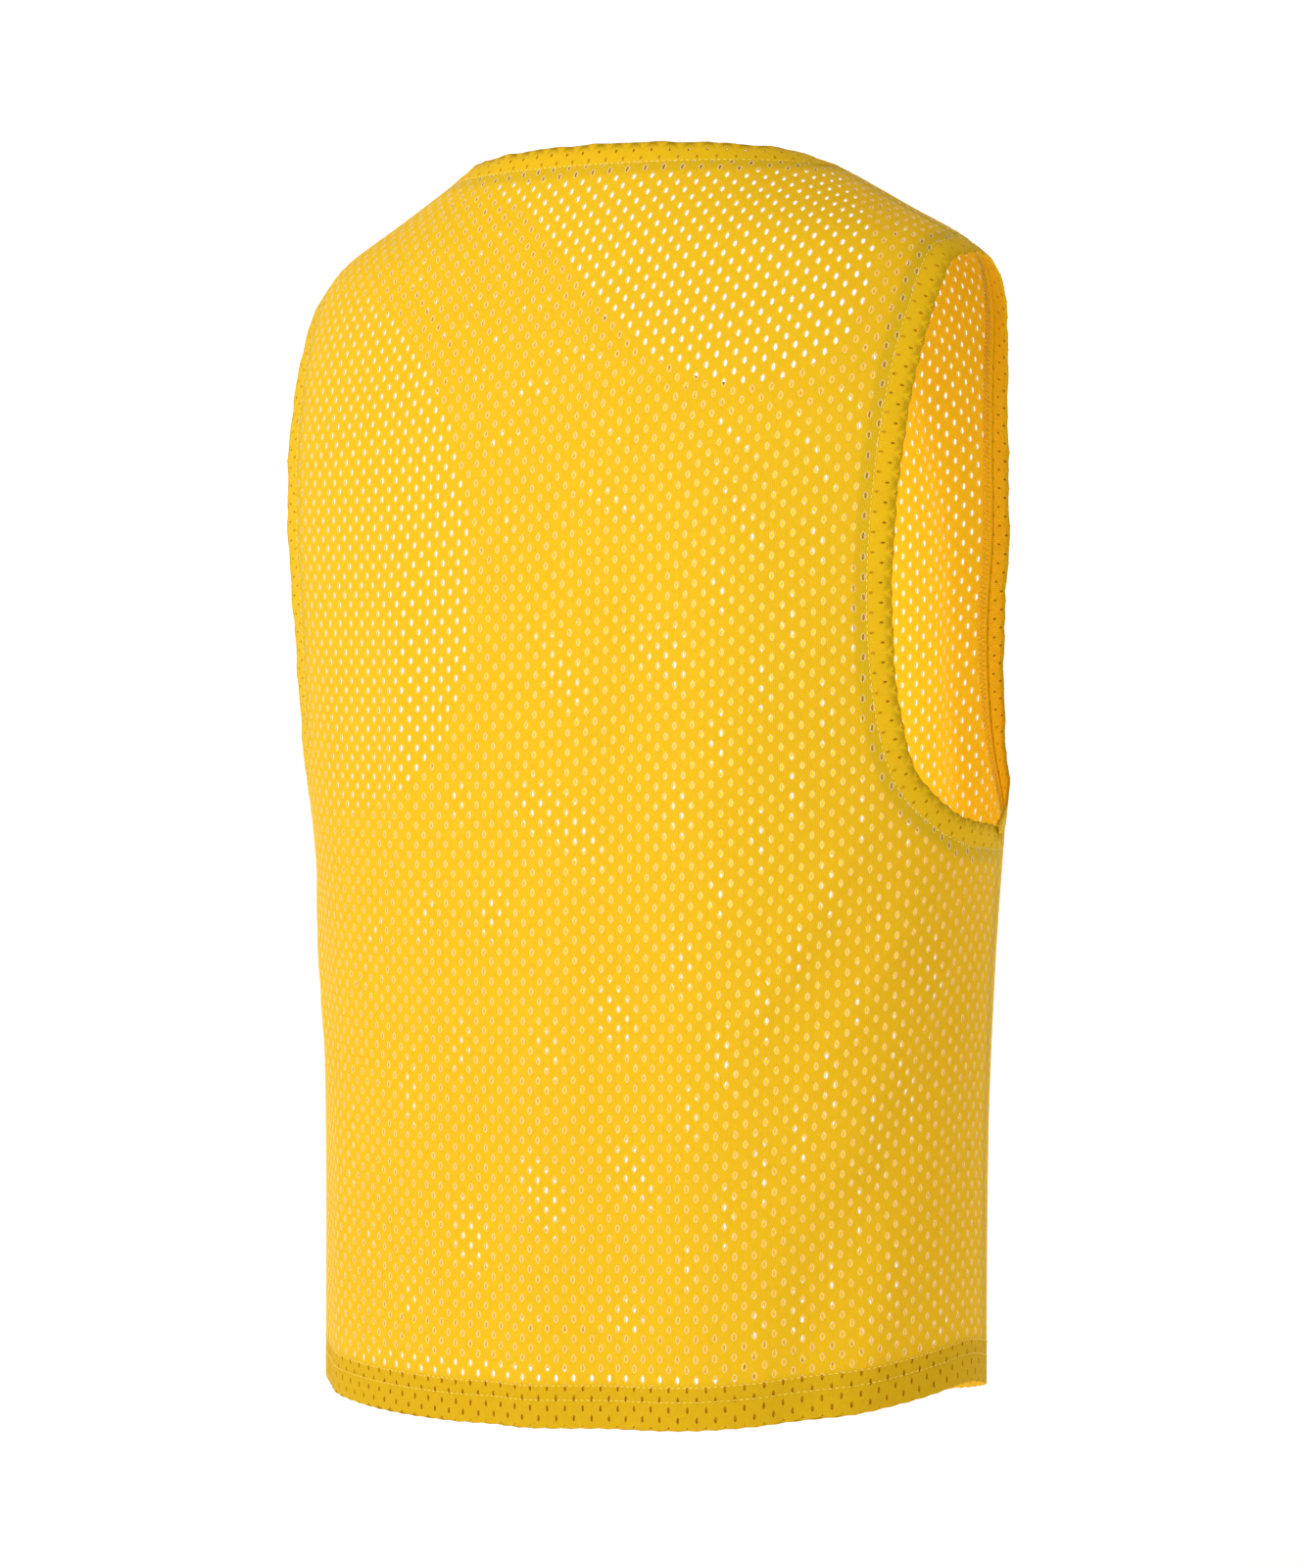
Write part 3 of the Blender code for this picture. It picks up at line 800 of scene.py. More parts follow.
def stitch_tree():
    """Short straight stitches that follow a line on the cloth."""
    tree = new_tree("Running stitch", STITCH_SOCKETS)
    n = Nodes(tree)
    given = n.add("NodeGroupInput").outputs
    curve = even_curve(n, given, given["Stitch pitch"])
    along = n.add("GeometryNodeInputTangent")
    out = n.attribute("out", "FLOAT_VECTOR")
    turn = n.add("FunctionNodeAxesToRotation", {0: out, 1: along}, primary_axis="Z", secondary_axis="X")
    bead = n.add("GeometryNodeMeshIcoSphere", {"Radius": 0.5, "Subdivisions": 1})
    fat = given["Thread thickness"]
    size = n.add("ShaderNodeCombineXYZ", {"X": given["Stitch length"], "Y": fat, "Z": fat})
    inputs = {"Points": curve, "Instance": bead.outputs["Mesh"], "Rotation": turn, "Scale": size}
    stitches = n.add("GeometryNodeInstanceOnPoints", inputs)
    stitches = n.add("GeometryNodeRealizeInstances", {"Geometry": stitches})
    stitches = n.add("GeometryNodeSetMaterial", {"Geometry": stitches, "Material": given["Finish"]})
    n.add("NodeGroupOutput", {"Geometry": stitches})
    return tree


OVERLOCK_SOCKETS = (
    ("Stitch pitch", "Float"),
    ("Stitch width", "Float"),
    ("Thread thickness", "Float"),
    ("Finish", "Material"),
)


def overlock_tree():
    """A thread that zigzags over an edge, along a line on the cloth."""
    tree = new_tree("Overlock stitch", OVERLOCK_SOCKETS)
    n = Nodes(tree)
    given = n.add("NodeGroupInput").outputs
    curve = even_curve(n, given, n.math("MULTIPLY", given["Stitch pitch"], 0.5))
    index = n.add("GeometryNodeInputIndex")
    swing = n.math("MULTIPLY", n.math("SUBTRACT", n.math("MODULO", index, 2.0), 0.5), given["Stitch width"])
    out = n.attribute("out", "FLOAT_VECTOR")
    along = n.add("GeometryNodeInputTangent")
    across = n.add("ShaderNodeVectorMath", {0: out, 1: along}, operation="CROSS_PRODUCT")
    across = n.add("ShaderNodeVectorMath", {0: across}, operation="NORMALIZE")
    aside = n.add("ShaderNodeVectorMath", {0: across, "Scale": swing}, operation="SCALE")
    curve = n.add("GeometryNodeSetPosition", {"Geometry": curve, "Offset": aside})
    radius = n.math("MULTIPLY", given["Thread thickness"], 0.5)
    ring = n.add("GeometryNodeCurvePrimitiveCircle", {"Resolution": 5, "Radius": radius})
    thread = n.add("GeometryNodeCurveToMesh", {"Curve": curve, "Profile Curve": ring.outputs["Curve"]})
    thread = n.add("GeometryNodeSetShadeSmooth", {"Geometry": thread})
    thread = n.add("GeometryNodeRealizeInstances", {"Geometry": thread})
    thread = n.add("GeometryNodeSetMaterial", {"Geometry": thread, "Material": given["Finish"]})
    n.add("NodeGroupOutput", {"Geometry": thread})
    return tree


TREES = {"knit": knit_tree, "stitch": stitch_tree, "overlock": overlock_tree}


@lru_cache(maxsize=None)
def tree_named(name):
    return TREES[name]()


def grown(name, source, tree, values):
    """A plain mesh object that a geometry tree makes from a source mesh."""
    seed = bpy.data.objects.new(name + " source", source)
    bpy.context.scene.collection.objects.link(seed)
    modifier = seed.modifiers.new("Made by nodes", "NODES")
    modifier.node_group = tree
    titles = {item.name: item for item in tree.interface.items_tree if item.in_out == "INPUT"}
    for title, value in values.items():
        modifier[titles[title].identifier] = value
    graph = bpy.context.evaluated_depsgraph_get()
    mesh = bpy.data.meshes.new_from_object(
        seed.evaluated_get(graph), preserve_all_data_layers=True, depsgraph=graph
    )
    mesh.name = name
    bpy.data.objects.remove(seed)
    piece = bpy.data.objects.new(name, mesh)
    bpy.context.scene.collection.objects.link(piece)
    if not mesh.polygons:
        raise RuntimeError(f"{name} came out empty")
    return piece


# A lattice of knit cells, with the size of its holes beside the cloth's own
Lattice = namedtuple("Lattice", "columns rows first pitch wobble wide high")


def knitted(name, source, cloth, finish, lattice):
    """A piece of knitted mesh cloth over a draped form."""
    cell = knit_cell()
    bpy.context.scene.collection.objects.link(cell)
    values = {
        "Cell": cell,
        "Columns": lattice.columns,
        "Rows": lattice.rows,
        "First place": lattice.first,
        "Column pitch": lattice.pitch,
        "Hole pitch": cloth.hole_pitch,
        "Hole width": cloth.hole_width * lattice.wide,
        "Hole height": cloth.hole_height * lattice.high,
        "Wobble": lattice.wobble,
        "Finish": finish,
    }
    piece = grown(name, source, tree_named("knit"), values)
    bpy.data.objects.remove(cell)
    wall = piece.modifiers.new("Cloth thickness", "SOLIDIFY")
    wall.thickness = cloth.cloth_thickness
    wall.offset = 0.0
    return piece


def finish_piece(piece, replaces=None):
    """Enter a piece in the frame."""
    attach(piece, BODY)
    if replaces:
        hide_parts(replaces)


Station = namedtuple("Station", "place across out")


def stations(edge, normals, turn, rounds=3):
    """The seam line's points with the direction that a band runs and the one that it faces."""
    count = len(edge)
    outs = list(normals)
    for _ in range(rounds):
        outs = [(outs[i - 1] + 2 * outs[i] + outs[(i + 1) % count]).normalized() for i in range(count)]
    line = []
    for i, place in enumerate(edge):
        ahead = edge[(i + 1) % count] - edge[i - 1]
        line.append(Station(place, ahead.cross(outs[i]).normalized() * turn, outs[i]))
    for _ in range(rounds):
        line = [
            Station(
                one.place,
                (line[i - 1].across + 2 * one.across + line[(i + 1) % count].across).normalized(),
                one.out,
            )
            for i, one in enumerate(line)
        ]
    return line


def armhole_loop(back, front, side):
    """One armhole's seam line through a grid of points or normals, up the back and down the front."""
    end = -1 if side > 0 else 0
    last = LOWER_ROWS + UPPER_ROWS
    rising = [back[row][end] for row in range(LOWER_ROWS, last + 1)]
    falling = [front[row][end] for row in range(last - 1, LOWER_ROWS, -1)]
    return rising + falling


def neck_loop(back, front):
    """The neck's seam line through a grid of points or normals, from the right neck point by the back."""
    first, last = SHOULDER_COLUMNS, SHOULDER_COLUMNS + 2 * NECK_COLUMNS
    behind = [back[-1][i] for i in range(first, last + 1)]
    before = [front[-1][i] for i in range(last - 1, first, -1)]
    return behind + before


def seam_stations(kind, side=0):
    """The stations of the neck seam or of an armhole seam."""
    back, front = panel_grid(BACK)[0], panel_grid(FRONT)[0]
    out_back, out_front = panel_normals(BACK), panel_normals(FRONT)
    if kind == "neck":
        return stations(neck_loop(back, front), neck_loop(out_back, out_front), 1)
    seam = armhole_loop(back, front, side)
    return stations(seam, armhole_loop(out_back, out_front, side), -side)


def resampled(line, count):
    """Stations at even distances round a closed seam."""
    runs = runs_along([one.place for one in line + line[:1]])
    even = []
    for k in range(count):
        run = runs[-1] * k / count
        i = bisect_right(runs, run) - 1
        near, far = line[i], line[(i + 1) % len(line)]
        t = (run - runs[i]) / (runs[i + 1] - runs[i])
        even.append(
            Station(
                near.place.lerp(far.place, t),
                near.across.lerp(far.across, t).normalized(),
                near.out.lerp(far.out, t).normalized(),
            )
        )
    return even, runs[-1]


def band_profile(width, half):
    """The cut through a doubled band, from the seam up the outside, round the fold and down the inside."""
    profile = [(-0.0016, -0.0002), (0.0004, 0.0004), (0.0020, half)]
    steps = 4
    straight = width - half
    profile += [(0.0020 + (straight - 0.0020) * i / steps, half) for i in range(1, steps + 1)]
    turns = 5
    for i in range(1, turns):
        angle = pi / 2 - pi * i / turns
        profile.append((straight + half * cos(angle), half * sin(angle)))
    profile += [(straight + (0.0010 - straight) * i / steps, -half) for i in range(steps + 1)]
    return profile + [(-0.0020, -half - 0.0002)]


def edged(rows, cloth):
    """The rows with one more beyond each end, at the same places but further out on the cloth."""
    step = Vector((0.0, EDGE_MARGIN, 0.0))
    rows = rows[:1] + rows + rows[-1:]
    cloth = [[place - step for place in cloth[0]]] + cloth + [[place + step for place in cloth[-1]]]
    outside = [[float(row in (0, len(rows) - 1))] * len(rows[0]) for row in range(len(rows))]
    return rows, cloth, outside


# A ring of cloth: its seam, the profile of its cut and its lattice of holes
Ring = namedtuple("Ring", "line length profile first_row squeeze hole_share flip")


def ring_piece(name, ring, cloth, lift_at=None):
    """A strip of mesh knitted all round a closed seam, through the profile of its cut."""
    drops = runs_along([Vector((across, out, 0.0)) for across, out in ring.profile])
    count = len(ring.line)
    rows, coordinates = [], []
    for (across, out), drop in zip(ring.profile, drops):
        row, flat = [], []
        for k in range(-WRAP_STATIONS, count + WRAP_STATIONS + 1):
            one = ring.line[k % count]
            lift = lift_at(2 * pi * k / count, across) if lift_at else 0.0
            aside = across + PUCKER_LEAN * lift
            row.append(one.place + one.across * aside + one.out * (out + lift))
            along = (MAP_LOW + ring.length * k / count) / ring.squeeze
            flat.append(Vector((along, MAP_LOW + drop, 0.0)))
        rows.append(row)
        coordinates.append(flat)
    source = grid_mesh(name + " form", *edged(rows, coordinates), flip=ring.flip)
    columns = 2 * round(ring.length / cloth.column_pitch / 2)
    first = (MAP_LOW / ring.squeeze, MAP_LOW + cloth.hole_pitch * ring.first_row, 0.0)
    lattice = Lattice(
        columns,
        int(drops[-1] / cloth.hole_pitch) + 3,
        first,
        ring.length / columns / ring.squeeze,
        0.0,
        ring.hole_share / ring.squeeze,
        ring.hole_share,
    )
    return knitted(name, source, cloth, finish_named("band"), lattice)


def band_piece(name, line, length, width, half, cloth, waves):
    """A band of doubled mesh round an opening, with a small pucker."""

    def pucker(turn, across):
        waving = sum(size * sin(number * turn + start) for number, start, size in waves)
        return waving * smooth(across / width * 2.0)

    ring = Ring(line, length, band_profile(width, half), BAND_FIRST_ROW, 1.0, BAND_HOLE_SHARE, False)
    return ring_piece(name, ring, cloth, pucker)


def size_setting(name, description, default):
    return bpy.props.FloatProperty(name=name, description=description, default=default, unit="LENGTH")


def colour_setting(name, description, default):
    return bpy.props.FloatVectorProperty(
        name=name, description=description, default=default, subtype="COLOR"
    )


class BibCloth(bpy.types.PropertyGroup):
    """Sizes and colours of the cloth."""

    column_pitch: size_setting("Column pitch", "From one column of holes to the next", 0.005)
    hole_pitch: size_setting("Hole pitch", "From one hole to the next in a column", 0.010)
    hole_width: size_setting("Hole width", "Across one oval hole", 0.0016)
    hole_height: size_setting("Hole height", "Up one oval hole", 0.0036)
    cloth_thickness: size_setting("Cloth thickness", "One layer of the knit", 0.0005)
    wobble: size_setting("Wobble", "How far the columns sway", 0.0016)
    cloth_colour: colour_setting("Cloth colour", "Dyed polyester", (0.92, 0.62, 0.016))
    through_colour: colour_setting("Colour of light through", "Through one layer", (0.95, 0.74, 0.06))
    # Painted shade: the cloth's colour deepened for the doubled bands and the allowances, standing in for
    # the shade of the doubled cloth.
    shaded_band_colour: colour_setting("Band colour", "Doubled cloth", (0.91, 0.54, 0.008))
    # Painted highlight: the pale colour round each hole of the panels stands in for bright light seen
    # through the holes and light caught on their rims.
    hole_highlight_colour: colour_setting("Hole edge colour", "Loops round a hole", (1.0, 0.92, 0.60))
    band_hole_shade_colour: colour_setting("Band hole colour", "Loops round a band's hole", (0.80, 0.44, 0.006))
    # Mixed in by the random cloudiness and slubs of the knit, and over the hem as painted shade where the
    # turned-up cloth lies behind.
    tone_and_hem_shade_colour: colour_setting("Shade colour", "Denser knit", (0.86, 0.555, 0.010))
    # Painted shade: the dark colour round each hole of the bands stands in for the shadowed second layer
    # seen through the holes.
    thread_colour: colour_setting("Thread colour", "Sewing thread", (0.98, 0.74, 0.110))


class BibSeams(bpy.types.PropertyGroup):
    """Sizes of the bands, the hem and the stitching."""

    neck_band_width: size_setting("Neck band width", "From seam to fold", 0.0114)
    armhole_band_width: size_setting("Armhole band width", "From seam to fold", 0.0124)
    band_thickness: size_setting("Band thickness", "Through both layers", 0.0016)
    allowance_width: size_setting("Allowance width", "Seam allowance inside the bib", 0.0080)
    hem_width: size_setting("Hem width", "Cloth turned up inside", 0.022)
    hem_stitch_height: size_setting("Hem stitch height", "From the fold to the lower line", 0.014)
    stitch_pitch: size_setting("Stitch pitch", "From one stitch to the next", 0.0032)
    stitch_length: size_setting("Stitch length", "One stitch that shows", 0.0024)
    thread_thickness: size_setting("Thread thickness", "Sewing thread", 0.00056)


class BibStudio(bpy.types.PropertyGroup):
    """The camera, the lamps and the floor."""

    camera_place: bpy.props.FloatVectorProperty(
        name="Camera place", description="Where it stands", default=(-1.1128, 1.7809, -0.290)
    )
    camera_turn: bpy.props.FloatProperty(
        name="Camera turn", description="Level heading, from +Y", default=radians(212.0), subtype="ANGLE"
    )
    camera_lens: bpy.props.FloatProperty(name="Lens", description="Millimetres", default=90.72)
    camera_shift: bpy.props.FloatVectorProperty(
        name="Lens shift", description="Across and up", default=(0.0028, -0.0531), size=2
    )
    floor_height: size_setting("Floor height", "Below the shoulders", -0.86)
    floor_colour: colour_setting("Floor colour", "Pale floor and backdrop", (0.92, 0.92, 0.92))
    sky_strength: bpy.props.FloatProperty(
        name="Room light", description="Light from all round", default=0.44
    )


def principled(name, colour, roughness, sheen):
    """A material with one shader, and its nodes."""
    material = bpy.data.materials.new(name)
    material.use_nodes = True
    shader = material.node_tree.nodes["Principled BSDF"]
    shader.inputs["Base Color"].default_value = (*colour, 1.0)
    shader.inputs["Roughness"].default_value = roughness
    shader.inputs["Sheen Weight"].default_value = sheen
    shader.inputs["Specular IOR Level"].default_value = 0.08
    material.diffuse_color = (*colour, 1.0)
    return material, Nodes(material.node_tree), shader


def hem_shading(n, up, seams):
    """How much painted shade darkens the cloth where the turned-up hem lies behind the panel, and the
    furrow of the line of stitches.
    """
    above = n.math("SUBTRACT", up, MAP_LOW)
    span = {"Value": above, "From Min": seams.hem_width, "From Max": seams.hem_width - 0.0008}
    behind = n.add("ShaderNodeMapRange", span)
    away = n.math("ABSOLUTE", n.math("SUBTRACT", above, seams.hem_stitch_height))
    furrow = n.add("ShaderNodeMapRange", {"Value": away, "From Min": 0.0014, "From Max": 0.0002})
    return behind, furrow


def knit_finish(finish, colours, hem):
    """Knitted polyester: fine wales and courses, painted highlight round the holes of the panels and
    painted shade round the holes of the bands, painted shade where the hem lies behind, light passing
    through.
    """
    colour, hole_highlight_colour = getattr(colours, finish.colour), getattr(colours, finish.edge)
    material, n, shader = principled(finish.title, colour, 0.65, 0.0)
    cloth = n.add("ShaderNodeUVMap", uv_map="cloth")
    parts = n.add("ShaderNodeSeparateXYZ", {0: cloth.outputs[0]})
    wales = n.math("SINE", n.math("MULTIPLY", parts.outputs["X"], 2 * pi / RIB_PITCH))
    courses = n.math("SINE", n.math("MULTIPLY", parts.outputs["Y"], 2 * pi / (0.8 * RIB_PITCH)))
    place = n.add("ShaderNodeTexCoord").outputs["Object"]
    grain = n.add("ShaderNodeTexNoise", {"Vector": place, "Scale": GRAIN_SCALE, "Detail": 3.0})
    relief = n.math("ADD", wales, n.math("MULTIPLY", courses, 0.6))
    relief = n.math("ADD", relief, n.math("MULTIPLY", grain.outputs["Fac"], 1.6))
    if hem:
        behind, furrow = hem_shading(n, parts.outputs["Y"], hem)
        relief = n.math("SUBTRACT", relief, n.math("MULTIPLY", furrow, 7.0))
    bump = n.add("ShaderNodeBump", {"Strength": 0.35, "Distance": 0.00012, "Height": relief})
    n.feed(shader.inputs["Normal"], bump)
    cloud = n.add("ShaderNodeTexNoise", {"Vector": place, "Scale": CLOUD_SCALE, "Detail": 4.0})
    slub = n.add("ShaderNodeTexNoise", {"Vector": place, "Scale": SLUB_SCALE, "Detail": 2.0})
    shade = n.math("MULTIPLY", n.math("SUBTRACT", cloud.outputs["Fac"], 0.42), 0.6)
    slubs = n.math("MULTIPLY", n.math("SUBTRACT", slub.outputs["Fac"], 0.45), 0.9)
    amount = n.add("ShaderNodeMath", {0: shade, 1: slubs}, operation="ADD", use_clamp=True)
    # Painted shade: over the hem the cloth is darkened where the turned-up cloth lies behind it.
    if hem:
        amount = n.add("ShaderNodeMath", {0: amount, 1: behind}, operation="ADD", use_clamp=True)
    base = n.add("ShaderNodeMix", data_type="RGBA")
    n.feed(base.inputs["Factor"], amount)
    n.feed(base.inputs[6], (*colour, 1.0))
    n.feed(base.inputs[7], (*colours.tone_and_hem_shade_colour, 1.0))
    # The rim of each hole is mixed towards the finish's hole colour: painted highlight on the panels,
    # painted shade on the bands.
    near = n.add("ShaderNodeAttribute", attribute_name="hole_edge").outputs["Fac"]
    span = {"Value": near, "From Min": 0.82, "From Max": 0.95, "To Max": 0.85}
    ring = n.add("ShaderNodeMapRange", span)
    # Over the hem the painted highlight round the holes is taken away, as part of the painted shade there.
    if hem:
        ring = n.math("MULTIPLY", ring, n.math("SUBTRACT", 1.0, behind))
    mix = n.add("ShaderNodeMix", data_type="RGBA")
    n.feed(mix.inputs["Factor"], ring)
    n.feed(mix.inputs[6], base.outputs[2])
    n.feed(mix.inputs[7], (*hole_highlight_colour, 1.0))
    n.feed(shader.inputs["Base Color"], mix.outputs[2])
    through = n.add("ShaderNodeBsdfTranslucent", {"Color": (*colours.through_colour, 1.0)})
    both = n.add("ShaderNodeMixShader", {0: finish.glow, 1: shader.outputs[0], 2: through})
    n.feed(material.node_tree.nodes["Material Output"].inputs["Surface"], both)
    return material


# Title, settings for its colour and for the colour painted round the holes (painted highlight on the
# panels, painted shade on the bands), and share of light passing through
Finish = namedtuple("Finish", "title colour edge glow")
FINISHES = {
    "mesh": Finish("Mesh cloth", "cloth_colour", "hole_highlight_colour", 0.34),
    "band": Finish("Doubled mesh cloth", "shaded_band_colour", "band_hole_shade_colour", 0.14),
    "allowance": Finish("Seam allowance cloth", "shaded_band_colour", "band_hole_shade_colour", 0.10),
}


@lru_cache(maxsize=None)
def finish_named(name):
    """The shared finishes."""
    cloth = bpy.context.scene.bib_cloth
    if name == "thread":
        material, n, shader = principled("Sewing thread", cloth.thread_colour, 0.5, 0.2)
        place = n.add("ShaderNodeTexCoord").outputs["Object"]
        twist = n.add("ShaderNodeTexNoise", {"Vector": place, "Scale": 1600.0, "Detail": 2.0})
        bump = n.add("ShaderNodeBump", {"Strength": 0.4, "Distance": 0.0001})
        n.feed(bump.inputs["Height"], twist.outputs["Fac"])
        n.feed(shader.inputs["Normal"], bump)
        return material
    hem = bpy.context.scene.bib_seams if name == "mesh" else None
    return knit_finish(FINISHES[name], cloth, hem)


# Width, length and area of each panel's flat cut
PANEL_CUTS = {BACK: (0.549, 0.690, 0.297), FRONT: (0.486, 0.700, 0.251)}


class BIB_OT_panels(bpy.types.Operator):
    """Knit the back and front panels over the form"""

    bl_idname = "bib.panels"
    bl_label = "Back and Front Panels"

    def execute(self, context):
        cloth = context.scene.bib_cloth
        count = 2 * round(LATTICE_WIDTH / cloth.column_pitch / 2) - 1
        rows = round(LATTICE_LENGTH / cloth.hole_pitch)
        first = (MAP_MIDDLE - (count - 1) // 2 * cloth.column_pitch, MAP_LOW, 0.0)
        lattice = Lattice(count, rows, first, cloth.column_pitch, cloth.wobble, 1.0, 1.0)
        for panel, (width, length, area) in PANEL_CUTS.items():
            source = widened_panel(panel)
            piece = knitted(panel.name + "_knit", source, cloth, finish_named("mesh"), lattice)
            finish_piece(piece, panel.name)
        return {"FINISHED"}


# Each band, and its pucker: how many waves run round it, where they start and how high they are
BandPlan = namedtuple("BandPlan", "name kind side waves")
BANDS = (
    BandPlan("neck_band", "neck", 0, ((23, 0.4, 0.00022), (37, 1.9, 0.00016), (61, 0.3, 0.00010))),
    BandPlan(
        "armhole_band_left", "armhole", 1, ((19, 0.9, 0.00026), (41, 2.2, 0.00018), (67, 0.5, 0.0001))
    ),
    BandPlan(
        "armhole_band_right", "armhole", -1, ((17, 2.9, 0.00028), (38, 0.2, 0.00018), (71, 1.5, 0.0001))
    ),
)


class BIB_OT_bands(bpy.types.Operator):
    """Make the doubled bands round the neck and the armholes"""

    bl_idname = "bib.bands"
    bl_label = "Neck and Armhole Bands"

    def execute(self, context):
        cloth, seams = context.scene.bib_cloth, context.scene.bib_seams
        for plan in BANDS:
            line, length = resampled(seam_stations(plan.kind, plan.side), BAND_STATIONS)
            width = seams.neck_band_width if plan.kind == "neck" else seams.armhole_band_width
            half = (seams.band_thickness - cloth.cloth_thickness) / 2
            piece = band_piece(plan.name + "_knit", line, length, width, half, cloth, plan.waves)
            finish_piece(piece, plan.name)
        return {"FINISHED"}


def panel_tree(panel):
    """A search tree over the panel's form."""
    points = panel_grid(panel)[0]
    width = len(points[0])
    flat = [point for row in points for point in row]
    faces = []
    for r in range(len(points) - 1):
        for c in range(width - 1):
            a = r * width + c
            faces.append((a, a + 1, a + width + 1, a + width))
    return BVHTree.FromPolygons(flat, faces)


@lru_cache(maxsize=None)
def form_trees():
    return panel_tree(BACK), panel_tree(FRONT)


def on_form(place, out, lift):
    """The nearest place on the panels, lifted off them along the outward direction."""
    best = None
    for tree in form_trees():
        found, normal, _, distance = tree.find_nearest(place)
        if best is None or distance < best[2]:
            best = (found, normal, distance)
    normal = best[1] if best[1].dot(out) > 0.0 else -best[1]
    return best[0] + normal * lift, normal


def strip_piece(name, line, closed, reach, finish, cloth):
    """A plain strip of cloth under a seam, lying along the inside of the panels."""
    steps = 4
    rows, coordinates = [], []
    runs = runs_along([one.place for one in line])
    for step in range(steps + 1):
        aside = STRIP_START + (reach - STRIP_START) * step / steps
        row, flat = [], []
        for one, run in zip(line, runs):
            place, _ = on_form(one.place - one.across * aside, one.out, -ALLOWANCE_DEPTH)
            row.append(place)
            flat.append(Vector((MAP_LOW + run, MAP_LOW + aside, 0.0)))
        rows.append(row)
        coordinates.append(flat)
    mesh = grid_mesh(name, rows, coordinates, closed=closed)
    mesh.materials.append(finish)
    piece = bpy.data.objects.new(name, mesh)
    bpy.context.scene.collection.objects.link(piece)
    wall = piece.modifiers.new("Cloth thickness", "SOLIDIFY")
    wall.thickness = cloth.cloth_thickness * STRIP_WALLS
    wall.offset = 0.0
    return piece


def side_line(panel, side):
    """A side seam from the hem up, with the direction away from the panel's middle."""
    points, normals = panel_grid(panel)[0], panel_normals(panel)
    column = -1 if side > 0 else 0
    line = []
    for r in range(LOWER_ROWS + 1):
        here, inner = points[r][column], points[r][column - 1 if side > 0 else 1]
        out = normals[r][column]
        away = here - inner
        away = (away - out * away.dot(out)).normalized()
        line.append(Station(here, away, out))
    return line


def shoulder_line(side):
    """A shoulder seam from the neck out, with the direction from the back towards the front."""
    points, normals = panel_grid(BACK)[0], panel_normals(BACK)
    last = len(points[0]) - 1
    columns = range(last - SHOULDER_COLUMNS, last + 1) if side > 0 else range(SHOULDER_COLUMNS, -1, -1)
    line = []
    for c in columns:
        here, below, out = points[-1][c], points[-2][c], normals[-1][c]
        away = here - below
        away = (away - out * away.dot(out)).normalized()
        line.append(Station(here, away, out))
    return line


class BIB_OT_allowances(bpy.types.Operator):
    """Lay the seam allowances along the inside of the bib"""

    bl_idname = "bib.allowances"
    bl_label = "Seam Allowances"

    def execute(self, context):
        cloth, seams = context.scene.bib_cloth, context.scene.bib_seams
        finish = finish_named("allowance")
        width = seams.allowance_width
        plans = []
        for plan in BANDS:
            line, _ = resampled(seam_stations(plan.kind, plan.side), BAND_STATIONS)
            plans.append((plan.name.replace("band", "allowance"), line, True, width))
        for side, word in ((1, "left"), (-1, "right")):
            reach = width + SIDE_EXTRA
            plans.append(("side_allowance_" + word, side_line(BACK, side), False, reach))
            plans.append(("shoulder_allowance_" + word, shoulder_line(side), False, width))
        for name, line, closed, reach in plans:
            piece = strip_piece(name, line, closed, reach, finish, cloth)
            finish_piece(piece)
        return {"FINISHED"}


def hem_line():
    """The hem's fold once round, from the right side seam by the back, with the way up the cloth."""
    line = []
    for panel in (BACK, FRONT):
        points, normals = panel_grid(panel)[0], panel_normals(panel)
        order = range(len(points[0]) - 1)
        if panel is FRONT:
            order = range(len(points[0]) - 1, 0, -1)
        for c in order:
            here, above, out = points[0][c], points[1][c], normals[0][c]
            up = above - here
            up = (up - out * up.dot(out)).normalized()
            line.append(Station(here, up, out))
    return line


class BIB_OT_hem(bpy.types.Operator):
    """Turn the hem up inside the panels"""

    bl_idname = "bib.hem"
    bl_label = "Turned-up Hem"

    def execute(self, context):
        cloth, seams = context.scene.bib_cloth, context.scene.bib_seams
        line, length = resampled(hem_line(), HEM_STATIONS)
        half = HEM_DEPTH / 2
        turns, steps = 5, 8
        angles = [pi * i / turns for i in range(turns + 1)]
        profile = [(-half * sin(angle), half * cos(angle) - half) for angle in angles]
        profile += [(seams.hem_width * i / steps, -HEM_DEPTH) for i in range(1, steps + 1)]
        ring = Ring(line, length, profile, HEM_FIRST_ROW, HEM_SQUEEZE, HEM_HOLE_SHARE, True)
        piece = ring_piece("hem_turning_knit", ring, cloth)
        finish_piece(piece, "hem_turning")
        return {"FINISHED"}


def thread_source(name, line, closed):
    """A line of edges with the outward direction at each of its points."""
    count = len(line)
    edges = [(i, (i + 1) % count) for i in range(count if closed else count - 1)]
    mesh = bpy.data.meshes.new(name)
    mesh.from_pydata([one.place for one in line], edges, [])
    out = mesh.attributes.new("out", "FLOAT_VECTOR", "POINT")
    out.data.foreach_set("vector", [value for one in line for value in one.out])
    return mesh


def laid_line(line, aside, lift):
    """A seam's line moved aside over the panels and lifted off them."""
    moved = []
    for one in line:
        place, normal = on_form(one.place - one.across * aside, one.out, lift)
        moved.append(Station(place, one.across, normal))
    return moved


